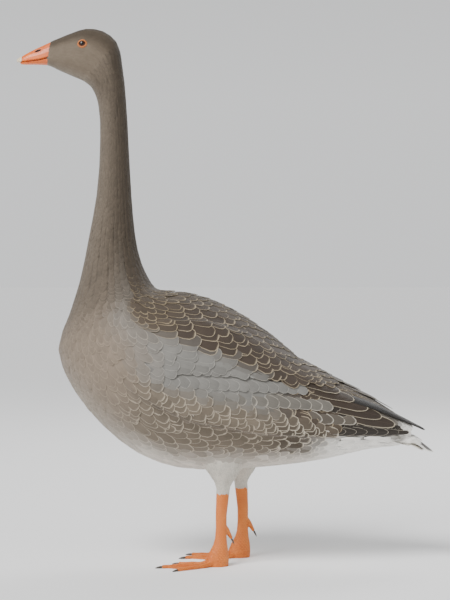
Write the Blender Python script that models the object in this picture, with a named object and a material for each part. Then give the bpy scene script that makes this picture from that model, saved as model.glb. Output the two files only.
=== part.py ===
"""A domestic goose, standing alert with its neck straight up: a still, life-size model.

Metres, +Z up. The bird faces -X, its left side is towards -Y, and its soles lie at z = 0.
The origin is on the floor, under the middle of the bird's own box.
The body, neck and head are one loft, parted at planes; the folded wings are shells laid on it.
"""

import math

import bmesh
import bpy
import numpy as np
from mathutils import Euler, Matrix, Vector
from mathutils.bvhtree import BVHTree

MM = 0.001
GAP = 0.3 * MM  # clearance between neighbouring solids
STEPS = 2  # rings made for each named section

# ---- Sections of the body, in millimetres.
# Each is a plane across the bird, square to the X-Z plane, from a point on the back to one on the belly:
# back x, back z, belly x, belly z, half width, and how high its widest line is (0 belly, 1 back).
BODY = {
    "tail_root": (282, 200, 276, 187, 20, 0.50),
    "vent": (228, 232, 225, 180.5, 46, 0.52),
    "rump": (167, 278, 159, 165, 72, 0.52),
    "hips": (103, 340, 79, 154, 94, 0.50),
    "loins": (39, 389, -1, 148.5, 108, 0.48),
    "mid_back": (-22, 421, -77, 151, 116, 0.48),
    "shoulders": (-73, 434, -141, 174.5, 116, 0.48),
    "keel": (-102, 435, -195, 217, 110, 0.48),
    "breast": (-110, 437, -242, 274, 98, 0.48),
    "crop": (-114, 441, -268, 339, 82, 0.48),
    "neck_base": (-121, 451, -250, 397, 62, 0.50),
    "neck_root": (-134, 478, -234, 448, 43, 0.50),
    "low_neck": (-144, 522, -220, 515, 32, 0.50),
    "mid_neck": (-150, 587, -207, 586, 26, 0.50),
    "high_neck": (-155, 675, -201, 674, 22, 0.50),
    "throat": (-159, 742, -204, 733, 21, 0.50),
    "nape": (-165, 794, -215, 760, 22.5, 0.48),
    "hind_head": (-174, 832, -230, 770, 24.5, 0.46),
    "crown": (-196, 848.8, -244, 776, 25, 0.44),
    "brow": (-223, 852.5, -258, 782.2, 23, 0.42),
    "forehead": (-246, 845.4, -270, 787.6, 19.5, 0.38),
    "lores": (-262, 839, -276, 791, 17, 0.36),
    "bill_base": (-278, 832, -283, 794, 14.5, 0.38),
}
NAMES = list(BODY)
BODY_POINTS = 24
BODY_SQUARENESS = 2.15  # exponent of the sections: 2 is an ellipse

# The lengths that the loft is parted into: first section, last section.
LENGTHS = {
    "rump": ("tail_root", "rump"),
    "trunk": ("rump", "neck_base"),
    "neck_lower": ("neck_base", "mid_neck"),
    "neck_upper": ("mid_neck", "nape"),
    "head": ("nape", "bill_base"),
}

# ---- Folded wings: their outside as sections like the body's, and their outline seen from the side.
WINGS = (
    (-109, 438, -246, 270, 101, 0.48),
    (-100, 438, -198, 212, 115, 0.48),
    (-71, 437, -142, 170, 125, 0.48),
    (-20, 424, -78, 146, 128, 0.48),
    (41, 389, -1, 143, 121, 0.48),
    (106, 336, 79, 150, 108, 0.50),
    (170, 300, 159, 162, 90, 0.52),
    (231, 267.5, 225, 176, 66, 0.54),
    (287, 232, 280, 190, 36, 0.56),
    (325, 210.5, 322, 205, 6, 0.50),
)
# x and z, clockwise from the wrist. Past the loins the upper edge runs above the back, so that the two
# wings meet on the midline there.
WING_OUTLINE = (
    (-180, 322), (-174, 352), (-150, 376), (-98, 390), (-33, 389), (31, 370), (86, 337), (122, 320),
    (130, 420), (340, 260), (340, 205), (322, 208), (305, 214), (301, 206), (255, 203), (167, 204),
    (55, 212), (-57, 233), (-137, 273),
)
WINGTIP_X = 226  # the long primaries are parted from the wing here
WING_REACH = 200  # how far out the outline's prism runs

# ---- Tail: a low arched fan of quills under the wing tips: x, z, half width, thickness, arch.
TAIL = (
    (266, 196, 20, 9, 3),
    (286, 199, 34, 9, 7),
    (299, 200, 42, 8, 10),
    (308, 195, 45, 6.5, 8.5),
    (319, 188, 47, 4.4, 5),
    (328, 181.6, 46, 2.6, 1.5),
    (333.5, 177.6, 42, 1.5, -1),
)
TAIL_ACROSS = 9
TAIL_ROUNDING = 14  # how far the outer quills end ahead of the middle ones
TAIL_EDGE = 0.45  # thickness at the fan's sides, as a share of the middle's

# ---- Bill, as sections from the forehead to the tip.
UPPER_BILL = (
    (-278.4, 831.4, -281.8, 805.6, 14.5, 0.06),
    (-290, 826, -292.5, 802.6, 13.8, 0.06),
    (-305, 819, -306.5, 800.5, 12.4, 0.06),
    (-317.5, 812.5, -318.5, 799.3, 10.8, 0.08),
    (-324, 808.6, -324.8, 798.9, 9.6, 0.10),
)
BILL_NAIL = (
    (-324.4, 808.5, -325.2, 799.0, 9.2, 0.12),
    (-329, 806.3, -329.7, 798.6, 7.4, 0.18),
    (-333.3, 803.4, -333.0, 799.0, 4.2, 0.30),
)
LOWER_BILL = (
    (-282.0, 805.1, -283.4, 794.3, 12.4, 0.92),
    (-293, 802.0, -295, 794.9, 11.6, 0.92),
    (-307, 799.9, -308, 795.3, 10.3, 0.92),
    (-319, 798.8, -320, 795.2, 8.8, 0.90),
    (-327.5, 798.3, -327, 795.8, 6.0, 0.85),
)
BILL_POINTS = 20
NOSTRIL_AT = (-299, 816)
NOSTRIL_LENGTH = 10
NOSTRIL_HEIGHT = 3.6
NOSTRIL_DEPTH = 3
NOSTRIL_SLOPE = math.radians(20)

# ---- Eyes
EYE_AT = (-227, 825)
EYE_RADIUS = 8
EYE_SUNK = 5.2  # from the side of the head in to the eye's centre

# ---- Legs. Each stands on its own upright axis; the left one is ahead of the right.
SIDES = {"left": -1, "right": 1}
STANCE = 47  # half the distance between the legs
LEG_X = {"left": -7, "right": 28}
TOES_OUT = {"left": math.radians(14), "right": math.radians(-12)}
HOCK_Z = 120
ANKLE_Z = 34
LEAN = {"left": -3, "right": 3}  # how far ahead of its axis each hock is
LEAN_FROM_Z = 80
LEG_POINTS = 14
# Sections across the axis, in millimetres: z, how far ahead of the axis, half length, half width.
THIGH = (
    (206, 4, 46, 31), (180, 3, 41, 29), (160, 1, 33, 24), (146, -1, 23.5, 18.5), (134, -1, 15.3, 13),
    (126, 0, 11.4, 9.6),
)
SHANK = (
    (HOCK_Z, 0, 10.2, 8.2), (108, 0, 10, 7.8), (94, 0, 9.3, 6.8), (80, 0, 8.7, 6.2),
    (60, 0, 8.5, 5.8), (44, 0.5, 9.2, 6.6),
)
ANKLE = ((ANKLE_Z, 1.5, 11, 8.6), (22, 4, 15.5, 10.5), (10, 6, 18.5, 12.5), (-2, 6, 17.5, 12))
SOLE_CUT = 20  # depth of the box that trims the soles flat

# Front toes: length without the claw, angle from the middle toe (outwards positive), thickness, joints.
TOES = {
    "inner": (66, math.radians(-27), 8.6, 2),
    "middle": (92, 0.0, 9.6, 3),
    "outer": (82, math.radians(25), 8.8, 4),
}
TOE_POINTS = 8
TOE_ROOT = 3  # the toes begin this far ahead of the leg's axis
TOE_RISE = 11  # and this much above where they lie further on
TOE_SLOPE_END = 0.42  # share of its length at which a toe lies level
TOE_TAPER = 0.42
KNUCKLE = 0.10  # how far joints swell and bones narrow
WEB_THICK = 1.8
WEB_SPAN = 0.94  # the web meets a toe at this share of its length
WEB_SCALLOP = 0.13
WEB_STEPS = 6
CLAW_LENGTH = 11
CLAW_DROOP = 0.1  # how far a claw's point curves down, as a share of its length
CLAW_POINTS = 8

# The hind toe, from the shank to its claw: distance behind the leg's axis, z, thickness.
HIND_TOE = ((3, 66, 7.5), (9.5, 57, 8), (14, 49, 6.4), (17.5, 43, 4.6))
HIND_TOE_IN = math.radians(10)  # it points back and this much inwards
HIND_CLAW_LENGTH = 10

FINISHES = {  # linear colour, roughness
    "plumage": ((0.20, 0.165, 0.135), 0.75),
    "bill": ((0.80, 0.26, 0.045), 0.38),
    "nail": ((0.62, 0.50, 0.38), 0.35),
    "leg": ((0.78, 0.24, 0.04), 0.5),
    "claw": ((0.05, 0.042, 0.038), 0.4),
    "eye": ((0.03, 0.014, 0.008), 0.08),
}


# ---------------------------------------------------------------- Meshes and objects

def material(name, finish):
    """The Principled material of one object."""
    made = bpy.data.materials.new(name)
    made.use_nodes = True
    colour, roughness = FINISHES[finish]
    shader = made.node_tree.nodes["Principled BSDF"]
    shader.inputs["Base Color"].default_value = (*colour, 1)
    shader.inputs["Roughness"].default_value = roughness
    shader.inputs["Metallic"].default_value = 0
    return made


def object_of(name, bm, finish, helper=False):
    """A linked object from a bmesh, its faces turned outwards. A helper is a cutter."""
    bmesh.ops.recalc_face_normals(bm, faces=bm.faces)
    mesh = bpy.data.meshes.new(name)
    bm.to_mesh(mesh)
    bm.free()
    mesh.materials.append(material(name, finish))
    mesh.shade_smooth()
    mesh.set_sharp_from_angle(angle=math.radians(40))
    made = bpy.data.objects.new(name, mesh)
    bpy.context.scene.collection.objects.link(made)
    if helper:
        made.hide_render = True
        made.display_type = "WIRE"
    return made


def combine(target, other, operation):
    step = target.modifiers.new(operation.title(), "BOOLEAN")
    step.operation = operation
    step.solver = "EXACT"
    step.object = other


def loft(rings):
    """A bmesh skinned over closed rings of equal length, with flat caps.

    Each four-sided patch is split the same way, and mirrored on the other flank, so that a loft and
    the same loft grown by the gap stay apart everywhere.
    """
    bm = bmesh.new()
    loops = [[bm.verts.new(point) for point in ring] for ring in rings]
    count = len(rings[0])
    for ring, following in zip(loops, loops[1:]):
        for k in range(count):
            corners = [ring[k], ring[(k + 1) % count], following[(k + 1) % count], following[k]]
            if k >= count // 2:
                corners = corners[1:] + corners[:1]
            a, b, c, d = corners
            bm.faces.new((a, b, c))
            bm.faces.new((a, c, d))
    bm.faces.new(loops[0])
    bm.faces.new(loops[-1])
    return bm


def prism(name, outline, y_from, y_to):
    """A side-view outline in millimetres, run straight across from one y to another, as a cutter."""
    bm = bmesh.new()
    face = bm.faces.new([bm.verts.new((x * MM, y_from * MM, z * MM)) for x, z in outline])
    grown = bmesh.ops.extrude_face_region(bm, geom=[face])
    moved = [v for v in grown["geom"] if isinstance(v, bmesh.types.BMVert)]
    bmesh.ops.translate(bm, verts=moved, vec=(0, (y_to - y_from) * MM, 0))
    return object_of(name, bm, "plumage", helper=True)


def ball(name, centre, radii, finish, helper=False, turn=0.0):
    """An ellipsoid in metres, turned about Y."""
    bm = bmesh.new()
    place = Matrix.LocRotScale(centre, Euler((0, turn, 0)), Vector(radii))
    bmesh.ops.create_uvsphere(bm, u_segments=14, v_segments=10, radius=1, matrix=place)
    return object_of(name, bm, finish, helper)


def smooth_rows(rows):
    """Rows with STEPS for each one given, on a curve that passes through all of them."""
    rows = np.array(list(rows), float)
    span = np.linalg.norm(np.diff(rows[:, :4], axis=0), axis=1)
    slope = np.diff(rows, axis=0) / span[:, None]
    share = (span[:-1] / (span[:-1] + span[1:]))[:, None]
    tangent = np.vstack([slope[:1], slope[:-1] * (1 - share) + slope[1:] * share, slope[-1:]])
    found = []
    for i, length in enumerate(span):
        for t in np.arange(STEPS) / STEPS:
            passed = 3 * t**2 - 2 * t**3
            bend = (t**3 - 2 * t**2 + t) * tangent[i] + (t**3 - t**2) * tangent[i + 1]
            found.append((1 - passed) * rows[i] + passed * rows[i + 1] + length * bend)
    return np.vstack([*found, rows[-1]])


def section_ring(row, count, squareness=2.0, grow=0.0):
    """The closed flat ring of one section: back x, back z, belly x, belly z, half width, waist."""
    back = np.array((row[0], 0, row[1])) * MM
    belly = np.array((row[2], 0, row[3])) * MM
    height = np.linalg.norm(back - belly)
    up = (back - belly) / height
    waist = belly + up * height * row[5]
    above = height * (1 - row[5]) + grow
    below = height * row[5] + grow
    wide = row[4] * MM + grow
    turns = 2 * math.pi * np.arange(count) / count
    rise = np.sign(np.cos(turns)) * abs(np.cos(turns)) ** (2 / squareness)
    rise *= np.where(np.cos(turns) > 0, above, below)
    side = np.sign(np.sin(turns)) * abs(np.sin(turns)) ** (2 / squareness) * wide
    return waist + rise[:, None] * up + side[:, None] * np.array((0, 1, 0))


# ---------------------------------------------------------------- Head, neck and body

def body_rings(grow=0.0):
    return [section_ring(row, BODY_POINTS, BODY_SQUARENESS, grow) for row in smooth_rows(BODY.values())]


def push_end(rings, end, distance):
    """Move an end ring out along its own normal; a negative distance draws it in."""
    ring = rings[end]
    quarter = len(ring) // 4
    normal = np.cross(ring[quarter] - ring[-quarter], ring[0] - ring[2 * quarter])
    normal /= np.linalg.norm(normal)
    inside = rings[1 if end == 0 else -2]
    outwards = np.sign(np.dot(ring.mean(0) - inside.mean(0), normal))
    rings[end] = ring + normal * outwards * distance


def body_length(name, first, last):
    """One length of the body's loft, drawn back from each parting plane by half the gap."""
    rings = body_rings()[NAMES.index(first) * STEPS : NAMES.index(last) * STEPS + 1]
    push_end(rings, 0, -GAP / 2)
    push_end(rings, -1, -GAP / 2)
    return object_of(name, loft(rings), "plumage")


def body_clearance():
    """The whole body grown by the gap, which wings, tail and thighs are cut back to."""
    rings = body_rings(GAP)
    push_end(rings, 0, GAP / 2)
    return object_of("body_clearance", loft(rings), "plumage", helper=True)


def eyes(head):
    bm = loft(body_rings())
    tree = BVHTree.FromBMesh(bm)
    bm.free()
    middle = Vector((EYE_AT[0], 0, EYE_AT[1])) * MM
    surface = tree.ray_cast(middle, Vector((0, 1, 0)))[0]
    for side, way in SIDES.items():
        centre = middle + Vector((0, way * (surface.y - EYE_SUNK * MM), 0))
        ball(f"eye_{side}", centre, [EYE_RADIUS * MM] * 3, "eye")
        socket = ball(f"socket_{side}", centre, [EYE_RADIUS * MM + GAP] * 3, "plumage", helper=True)
        combine(head, socket, "DIFFERENCE")


def bill():
    parts = {"bill_upper": (UPPER_BILL, "bill"), "bill_nail": (BILL_NAIL, "nail")}
    parts["bill_lower"] = (LOWER_BILL, "bill")
    made = {}
    for name, (rows, finish) in parts.items():
        rings = [section_ring(row, BILL_POINTS) for row in smooth_rows(rows)]
        made[name] = object_of(name, loft(rings), finish)
    for side, way in SIDES.items():
        x, z = NOSTRIL_AT
        half_width = np.interp(-x, [-row[0] for row in UPPER_BILL], [row[4] for row in UPPER_BILL])
        centre = Vector((x, way * half_width * 0.74, z)) * MM
        radii = Vector((NOSTRIL_LENGTH / 2, NOSTRIL_DEPTH, NOSTRIL_HEIGHT / 2)) * MM
        pit = ball(f"nostril_{side}", centre, radii, "bill", helper=True, turn=-NOSTRIL_SLOPE)
        combine(made["bill_upper"], pit, "DIFFERENCE")


# ---------------------------------------------------------------- Wings and tail

def wing_outline(tip, lower=0.0):
    """The part of the wings' outline ahead of the primaries, or the tip's; lower drops its underside."""
    split = WINGTIP_X + (GAP if tip else -GAP) / MM / 2
    points = [(x, z - lower if z < 300 else z) for x, z in WING_OUTLINE]
    kept = []
    for (x0, z0), (x1, z1) in zip(points, points[1:] + points[:1]):
        if (x0 > split) == tip:
            kept.append((x0, z0))
        if (x0 - split) * (x1 - split) < 0:
            kept.append((split, z0 + (z1 - z0) * (split - x0) / (x1 - x0)))
    return kept


def wings(clearance):
    rings = [section_ring(row, BODY_POINTS, BODY_SQUARENESS) for row in smooth_rows(WINGS)]
    for side, way in SIDES.items():
        for part, tip in (("wing", False), ("wingtip", True)):
            middle = way * GAP / MM / 2
            outline = prism(f"{part}_{side}_outline", wing_outline(tip), middle, way * WING_REACH)
            made = object_of(f"{part}_{side}", loft(rings), "plumage")
            combine(made, outline, "INTERSECT")
            combine(made, clearance, "DIFFERENCE")


def tail_ring(x, z, half_width, thick, arch):
    """A thin arched section of the fan: its top from side to side, then its underside back."""
    across = np.linspace(-1, 1, TAIL_ACROSS)
    back = x - TAIL_ROUNDING * across**2 * (x - TAIL[0][0]) / (TAIL[-1][0] - TAIL[0][0])
    half_thick = thick / 2 * (1 - (1 - TAIL_EDGE) * across**2)
    height = z - arch * across**2
    top = np.stack([back, across * half_width, height + half_thick], 1)
    underside = np.stack([back, across * half_width, height - half_thick], 1)
    return np.vstack([top, underside[::-1]]) * MM


def tail(clearance):
    made = object_of("tail", loft([tail_ring(*row) for row in TAIL]), "plumage")
    combine(made, clearance, "DIFFERENCE")
    beneath = wing_outline(True, lower=2 * GAP / MM)
    combine(made, prism("tail_clearance", beneath, -WING_REACH, WING_REACH), "DIFFERENCE")


# ---------------------------------------------------------------- Legs

def leg_place(side, ahead, out, z, turn):
    """A point of a leg in world metres, from millimetres ahead of and out from its axis."""
    way = SIDES[side]
    x = LEG_X[side] - ahead * math.cos(turn) + out * math.sin(turn)
    y = way * (STANCE + ahead * math.sin(turn) + out * math.cos(turn))
    return np.array((x, y, z)) * MM


def leg_ring(side, z, ahead, half_length, half_width, turn=0.0, grow=0.0):
    """A level elliptical section of a leg."""
    ahead += LEAN[side] * min(1.0, max(0.0, z - LEAN_FROM_Z) / (HOCK_Z - LEAN_FROM_Z))
    ring = []
    for k in range(LEG_POINTS):
        angle = 2 * math.pi * k / LEG_POINTS
        along = ahead + (half_length + grow) * math.cos(angle)
        ring.append(leg_place(side, along, (half_width + grow) * math.sin(angle), z, turn))
    return ring


def tube(points, half_widths, half_heights, count):
    """Rings square to a path, with their sides level."""
    points = np.array(points, float)
    along = np.gradient(points, axis=0)
    rings = []
    for point, ahead, wide, high in zip(points, along, half_widths, half_heights):
        ahead = ahead / np.linalg.norm(ahead)
        across = np.cross(ahead, (0, 0, 1))
        across /= np.linalg.norm(across)
        up = np.cross(across, ahead)
        turns = 2 * math.pi * (np.arange(count) + 0.5) / count
        sides = np.cos(turns)[:, None] * across * wide + np.sin(turns)[:, None] * up * high
        rings.append(point + sides * MM)
    return rings


def thigh(side, clearance):
    rows = (*THIGH, (HOCK_Z + GAP / MM, *SHANK[0][1:]))
    made = object_of(f"thigh_{side}", loft([leg_ring(side, *row) for row in rows]), "plumage")
    combine(made, clearance, "DIFFERENCE")


def shank_rings(side, grow=0.0):
    rows = (*SHANK, (ANKLE_Z + GAP / MM, *ANKLE[0][1:]))
    return [leg_ring(side, *row, turn=TOES_OUT[side], grow=grow) for row in rows]


def toe_path(side, toe, shares):
    """Points along a front toe, in metres, at shares of its length."""
    length, angle, thick, _ = TOES[toe]
    points = []
    for share in shares:
        reach = share * length
        ahead = TOE_ROOT + reach * math.cos(angle)
        slope = max(0.0, 1 - share / TOE_SLOPE_END) ** 2
        z = thick * (1 - TOE_TAPER * share) * 0.4 + TOE_RISE * slope
        points.append(leg_place(side, ahead, reach * math.sin(angle), z, TOES_OUT[side]))
    return points


def toe_rings(side, toe):
    """A toe as a tapering row of knuckles, one bone more than it has joints."""
    _, _, thick, joints = TOES[toe]
    steps = 2 * (joints + 1)
    shares = np.arange(steps + 1) / steps
    half = thick / 2 * (1 - TOE_TAPER * shares) * (1 + KNUCKLE * np.cos(np.pi * np.arange(steps + 1)))
    return tube(toe_path(side, toe, shares), half, half * 0.95, TOE_POINTS)


def web(side):
    """The web between the front toes, a thin plate whose edge draws in between their tips."""
    reach = {toe: length * WEB_SPAN for toe, (length, _, _, _) in TOES.items()}
    edge = [(0.0, 0.0)]
    for first, second in (("inner", "middle"), ("middle", "outer")):
        for share in np.arange(WEB_STEPS + 1) / WEB_STEPS:
            angle = TOES[first][1] * (1 - share) + TOES[second][1] * share
            radius = reach[first] * (1 - share) + reach[second] * share
            radius *= 1 - WEB_SCALLOP * 4 * share * (1 - share)
            point = (TOE_ROOT + radius * math.cos(angle), radius * math.sin(angle))
            if point != edge[-1]:
                edge.append(point)
    levels = (-WEB_THICK, WEB_THICK)
    return [[leg_place(side, *point, z, TOES_OUT[side]) for point in edge] for z in levels]


def foot(side):
    rows = ((ANKLE_Z, *ANKLE[0][1:]), *ANKLE[1:])
    rings = [leg_ring(side, *row, turn=TOES_OUT[side]) for row in rows]
    made = object_of(f"foot_{side}", loft(rings), "leg")
    added = {toe: toe_rings(side, toe) for toe in TOES}
    added["web"] = web(side)
    for name, rings in added.items():
        combine(made, object_of(f"{name}_{side}", loft(rings), "leg", helper=True), "UNION")
    floor = (-WING_REACH, 0), (WING_REACH, 0), (WING_REACH, -SOLE_CUT), (-WING_REACH, -SOLE_CUT)
    combine(made, prism(f"floor_{side}", floor, -WING_REACH, WING_REACH), "DIFFERENCE")


def claw(name, end, towards, length, thick):
    """A claw that begins one gap past a toe's end and curves down to a blunt point."""
    towards = towards / np.linalg.norm(towards)
    shares = np.array((0, 0.4, 0.75, 1))
    root = end + towards * GAP
    droop = np.array((0, 0, CLAW_DROOP * length * MM))
    points = [root + towards * length * MM * share - droop * share**2 for share in shares]
    half = thick / 2 * np.array((0.76, 0.68, 0.46, 0.16))
    object_of(name, loft(tube(points, half, half, CLAW_POINTS)), "claw")


def front_claws(side):
    for toe, (_, _, thick, _) in TOES.items():
        before, end = toe_path(side, toe, (0.9, 1.0))
        claw(f"claw_{side}_{toe}", end, end - before, CLAW_LENGTH, thick * (1 - TOE_TAPER))


def hind_toe(side):
    """The short raised hind toe and its claw, behind and a little inside the ankle."""
    points = []
    for reach, z, _ in HIND_TOE:
        behind, inwards = reach * math.cos(HIND_TOE_IN), reach * math.sin(HIND_TOE_IN)
        points.append(leg_place(side, -behind, -inwards, z, TOES_OUT[side]))
    half = np.array([thick for _, _, thick in HIND_TOE]) / 2
    made = object_of(f"hind_toe_{side}", loft(tube(points, half, half, CLAW_POINTS)), "leg")
    around = object_of(f"shank_clearance_{side}", loft(shank_rings(side, GAP / MM)), "leg", helper=True)
    combine(made, around, "DIFFERENCE")
    claw(f"claw_{side}_hind", points[-1], points[-1] - points[-2], HIND_CLAW_LENGTH, HIND_TOE[-1][2])


def legs(clearance):
    for side in SIDES:
        thigh(side, clearance)
        object_of(f"shank_{side}", loft(shank_rings(side)), "leg")
        foot(side)
        front_claws(side)
        hind_toe(side)


def build():
    for old in list(bpy.data.objects):
        bpy.data.objects.remove(old)
    lengths = {name: body_length(name, *ends) for name, ends in LENGTHS.items()}
    clearance = body_clearance()
    eyes(lengths["head"])
    bill()
    wings(clearance)
    tail(clearance)
    legs(clearance)


build()
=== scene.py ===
import math

import bpy
import numpy as np
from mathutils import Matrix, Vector
from mathutils.bvhtree import BVHTree


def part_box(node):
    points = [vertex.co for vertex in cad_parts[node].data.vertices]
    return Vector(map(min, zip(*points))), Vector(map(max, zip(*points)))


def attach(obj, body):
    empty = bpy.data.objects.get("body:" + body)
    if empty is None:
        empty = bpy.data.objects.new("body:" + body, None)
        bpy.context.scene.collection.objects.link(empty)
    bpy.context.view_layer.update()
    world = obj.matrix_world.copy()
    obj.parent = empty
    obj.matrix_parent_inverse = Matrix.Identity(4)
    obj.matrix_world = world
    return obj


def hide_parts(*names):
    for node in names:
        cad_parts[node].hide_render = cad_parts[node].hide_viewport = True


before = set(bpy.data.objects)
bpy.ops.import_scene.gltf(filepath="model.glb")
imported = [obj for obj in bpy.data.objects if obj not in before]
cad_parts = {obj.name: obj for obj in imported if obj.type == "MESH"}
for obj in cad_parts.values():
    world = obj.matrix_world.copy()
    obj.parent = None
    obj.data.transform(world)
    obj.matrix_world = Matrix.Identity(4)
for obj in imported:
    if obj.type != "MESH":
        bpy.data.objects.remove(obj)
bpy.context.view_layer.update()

# A life-size museum model of a grey farmyard goose: one feathered skin under
# tracts of separate feathers, a horny bill, scaled legs, and eyes in their lids.
# Places are in millimetres in the tables and in metres once scaled by MM.

MM = 0.001
SIDES = {"left": -1, "right": 1}
UP = Vector((0, 0, 1))
ACROSS = Vector((0, 1, 0))
FULL_TURN = 2 * math.pi
RANDOM = np.random.default_rng(7)
# A distance from the middle that is outside the whole bird, in metres.
OUTSIDE = 0.4
# The side of a feather's patch on the unwrapped skin, where the whole skin is one across.
PATCH = 0.003

# Where planes across the body meet the back (x, z) and the belly (x, z).
STATIONS = {
    "tail_root": (282, 200, 276, 187),
    "vent": (228, 232, 225, 180.5),
    "rump": (167, 278, 159, 165),
    "hips": (103, 340, 79, 154),
    "loins": (39, 389, -1, 148.5),
    "mid_back": (-22, 421, -77, 151),
    "shoulders": (-73, 434, -141, 174.5),
    "keel": (-102, 435, -195, 217),
    "breast": (-110, 437, -242, 274),
    "crop": (-114, 441, -268, 339),
    "neck_base": (-121, 451, -250, 397),
    "neck_root": (-134, 478, -234, 448),
    "low_neck": (-144, 522, -220, 515),
    "mid_neck": (-150, 587, -207, 586),
    "high_neck": (-155, 675, -201, 674),
    "throat": (-159, 742, -204, 733),
    "nape": (-165, 794, -215, 760),
    "hind_head": (-174, 832, -230, 770),
    "crown": (-196, 848.8, -244, 776),
    "brow": (-223, 852.5, -258, 782.2),
    "forehead": (-246, 845.4, -270, 787.6),
    "lores": (-262, 839, -276, 791),
    "bill_base": (-279.4, 831.6, -284.4, 794),
}
AT = {name: number for number, name in enumerate(STATIONS)}
LAST_STATION = len(STATIONS) - 1

FLESH = ("head", "neck_upper", "neck_lower", "trunk", "rump", "wing_left", "wing_right")
THIGHS = ("thigh_left", "thigh_right")
WINGTIPS = ("wingtip_left", "wingtip_right")
EYES = ("eye_left", "eye_right")
MANDIBLES = ("bill_upper", "bill_lower")


def seat(side):
    """An eye's centre, its radius, and the way it looks: outward, a little forward and up."""
    low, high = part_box(f"eye_{side}")
    return (low + high) / 2, (high.z - low.z) / 2, Vector((-0.11, SIDES[side], 0.17)).normalized()


SEATS = {side: seat(side) for side in SIDES}
# The middle of the lids before the eye's centre, and half the width and height of the patch
# round them where no tuft stands.
LID_FRONT = 6 * MM
BARE_WIDE, BARE_TALL = 6.7 * MM, 6.0 * MM


def about(spread):
    """A share near one, to make like feathers a little unlike."""
    return 1 + spread * RANDOM.standard_normal()


def step(low, high, value):
    """0 below low, 1 above high, and smooth between."""
    share = min(1.0, max(0.0, (value - low) / (high - low)))
    return share * share * (3 - 2 * share)


def folded(turn):
    """A turn from the back, counted alike on both sides."""
    return abs((turn + math.pi) % FULL_TURN - math.pi)


def around(turn):
    """The direction at a turn about an upright line."""
    return Vector((math.cos(turn), math.sin(turn), 0))


def level(direction, normal):
    """A direction laid on the surface that has this normal."""
    return (direction - normal * direction.dot(normal)).normalized()


# ---------------- Colours

def linear(hex_colour):
    """An sRGB hex colour as linear red, green and blue."""
    parts = [int(hex_colour[k:k + 2], 16) / 255 for k in (0, 2, 4)]
    return [c / 12.92 if c <= 0.04045 else ((c + 0.055) / 1.055) ** 2.4 for c in parts]


# Feathers' ground colour, the colour of their edge, and that edge's width in millimetres.
LOOKS = {
    "crown": ("483E32", "4F4539", 0.3),
    "cheek": ("6D6153", "736759", 0.3),
    "chin": ("887D6F", "8F8376", 0.3),
    "hind_neck": ("483E32", "4F4539", 0.6),
    "fore_neck": ("6C6154", "74695C", 0.7),
    "breast": ("7B6E60", "8D7F6F", 2.0),
    "low_breast": ("9A9082", "ABA193", 2.0),
    "belly": ("C9C2B7", "D5CEC4", 2.0),
    "vent": ("EBE8E1", "F0EEE9", 2.0),
    "mantle": ("463C31", "9A8A6E", 1.7),
    "scapular": ("40362D", "AB9C82", 2.0),
    "flank": ("695F52", "B0A491", 1.9),
    "rear_flank": ("4C4338", "C5BBA8", 2.3),
    "flank_line": ("5F554A", "D2C9BB", 2.4),
    "lesser": ("74726D", "9A9790", 1.4),
    "median": ("66625B", "AEA79A", 1.8),
    "greater": ("5B544B", "C5BEAF", 2.0),
    "secondary": ("2D2721", "A1998B", 1.0),
    "tertial": ("382F27", "C1B59E", 1.8),
    "primary": ("211E1B", "4B453F", 0.5),
    "rump": ("645E56", "7B746B", 1.6),
    "tail_coverts": ("EFECE5", "F7F5F0", 1.5),
    "tail": ("403A33", "EEEBE4", 3.2),
    "outer_tail": ("E6E2D9", "F4F2EC", 2.6),
    "thigh": ("C5BFB3", "CEC8BD", 1.0),
    # The mouth's lining, near black: painted shade for the inside of the gape and nostrils.
    "mouth": ("2B1613", "2B1613", 0.3),
}
LOOKS = {name: np.array(linear(ground) + linear(edge) + [width])
         for name, (ground, edge, width) in LOOKS.items()}


def markings(s, turn):
    """The look of the plumage at a station and a turn from the back, alike on both sides."""
    turn = folded(turn)
    wing = step(AT["hips"], AT["loins"], s)
    front = step(AT["shoulders"], AT["breast"], s)
    neck = step(8.4, 12.6, s)
    head = step(AT["throat"], AT["hind_head"], s)
    fall = 0.4 * step(1.5, 2.6, s)
    layers = (
        ("scapular", step(0.25, 0.5, turn) * step(AT["rump"], AT["hips"], s)
         * (1 - step(AT["shoulders"], AT["keel"], s))),
        ("lesser", step(1.0, 1.2, turn) * wing),
        ("flank", step(1.55, 1.75, turn)),
        ("rear_flank", step(1.6, 1.8, turn) * (1 - wing)),
        ("belly", step(2.25, 2.75, turn)),
        ("breast", front * step(0.8, 1.7, turn)),
        ("low_breast", front * step(2.0, 3.0, turn) * (1 - step(7.5, 9.5, s))),
        ("rump", (1 - step(0.8, 1.6, s)) * (1 - step(1.2, 1.6, turn))),
        ("vent", (1 - step(2.0, 3.0, s)) * step(1.5 + fall, 1.85 + fall, turn)),
        ("vent", 1 - step(0.2, 0.6, s)),
        ("hind_neck", neck),
        ("fore_neck", neck * step(0.9, 2.4, turn)),
        ("crown", head),
        ("cheek", head * step(0.8, 1.5, turn)),
        ("chin", head * step(2.2, 2.9, turn)),
    )
    here = LOOKS["mantle"]
    for name, share in layers:
        here = here + (LOOKS[name] - here) * share
    return here


# ---------------- Objects

def only(*pieces):
    """Selects these pieces and nothing else."""
    bpy.ops.object.select_all(action="DESELECT")
    for piece in pieces:
        piece.select_set(True)
    bpy.context.view_layer.objects.active = pieces[0]


def put(name, data):
    """A new object in the scene that shows this mesh, light or camera."""
    made = bpy.data.objects.new(name, data)
    bpy.context.scene.collection.objects.link(made)
    return made


def smooth(piece):
    only(piece)
    bpy.ops.object.shade_smooth()


def primitive(kind, name, **size):
    """A primitive at its size, with its place in its mesh."""
    bpy.ops.object.select_all(action="DESELECT")
    getattr(bpy.ops.mesh, f"primitive_{kind}_add")(**size)
    piece = bpy.context.active_object
    piece.name = name
    bpy.ops.object.transform_apply(location=True, rotation=True, scale=True)
    return piece


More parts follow.
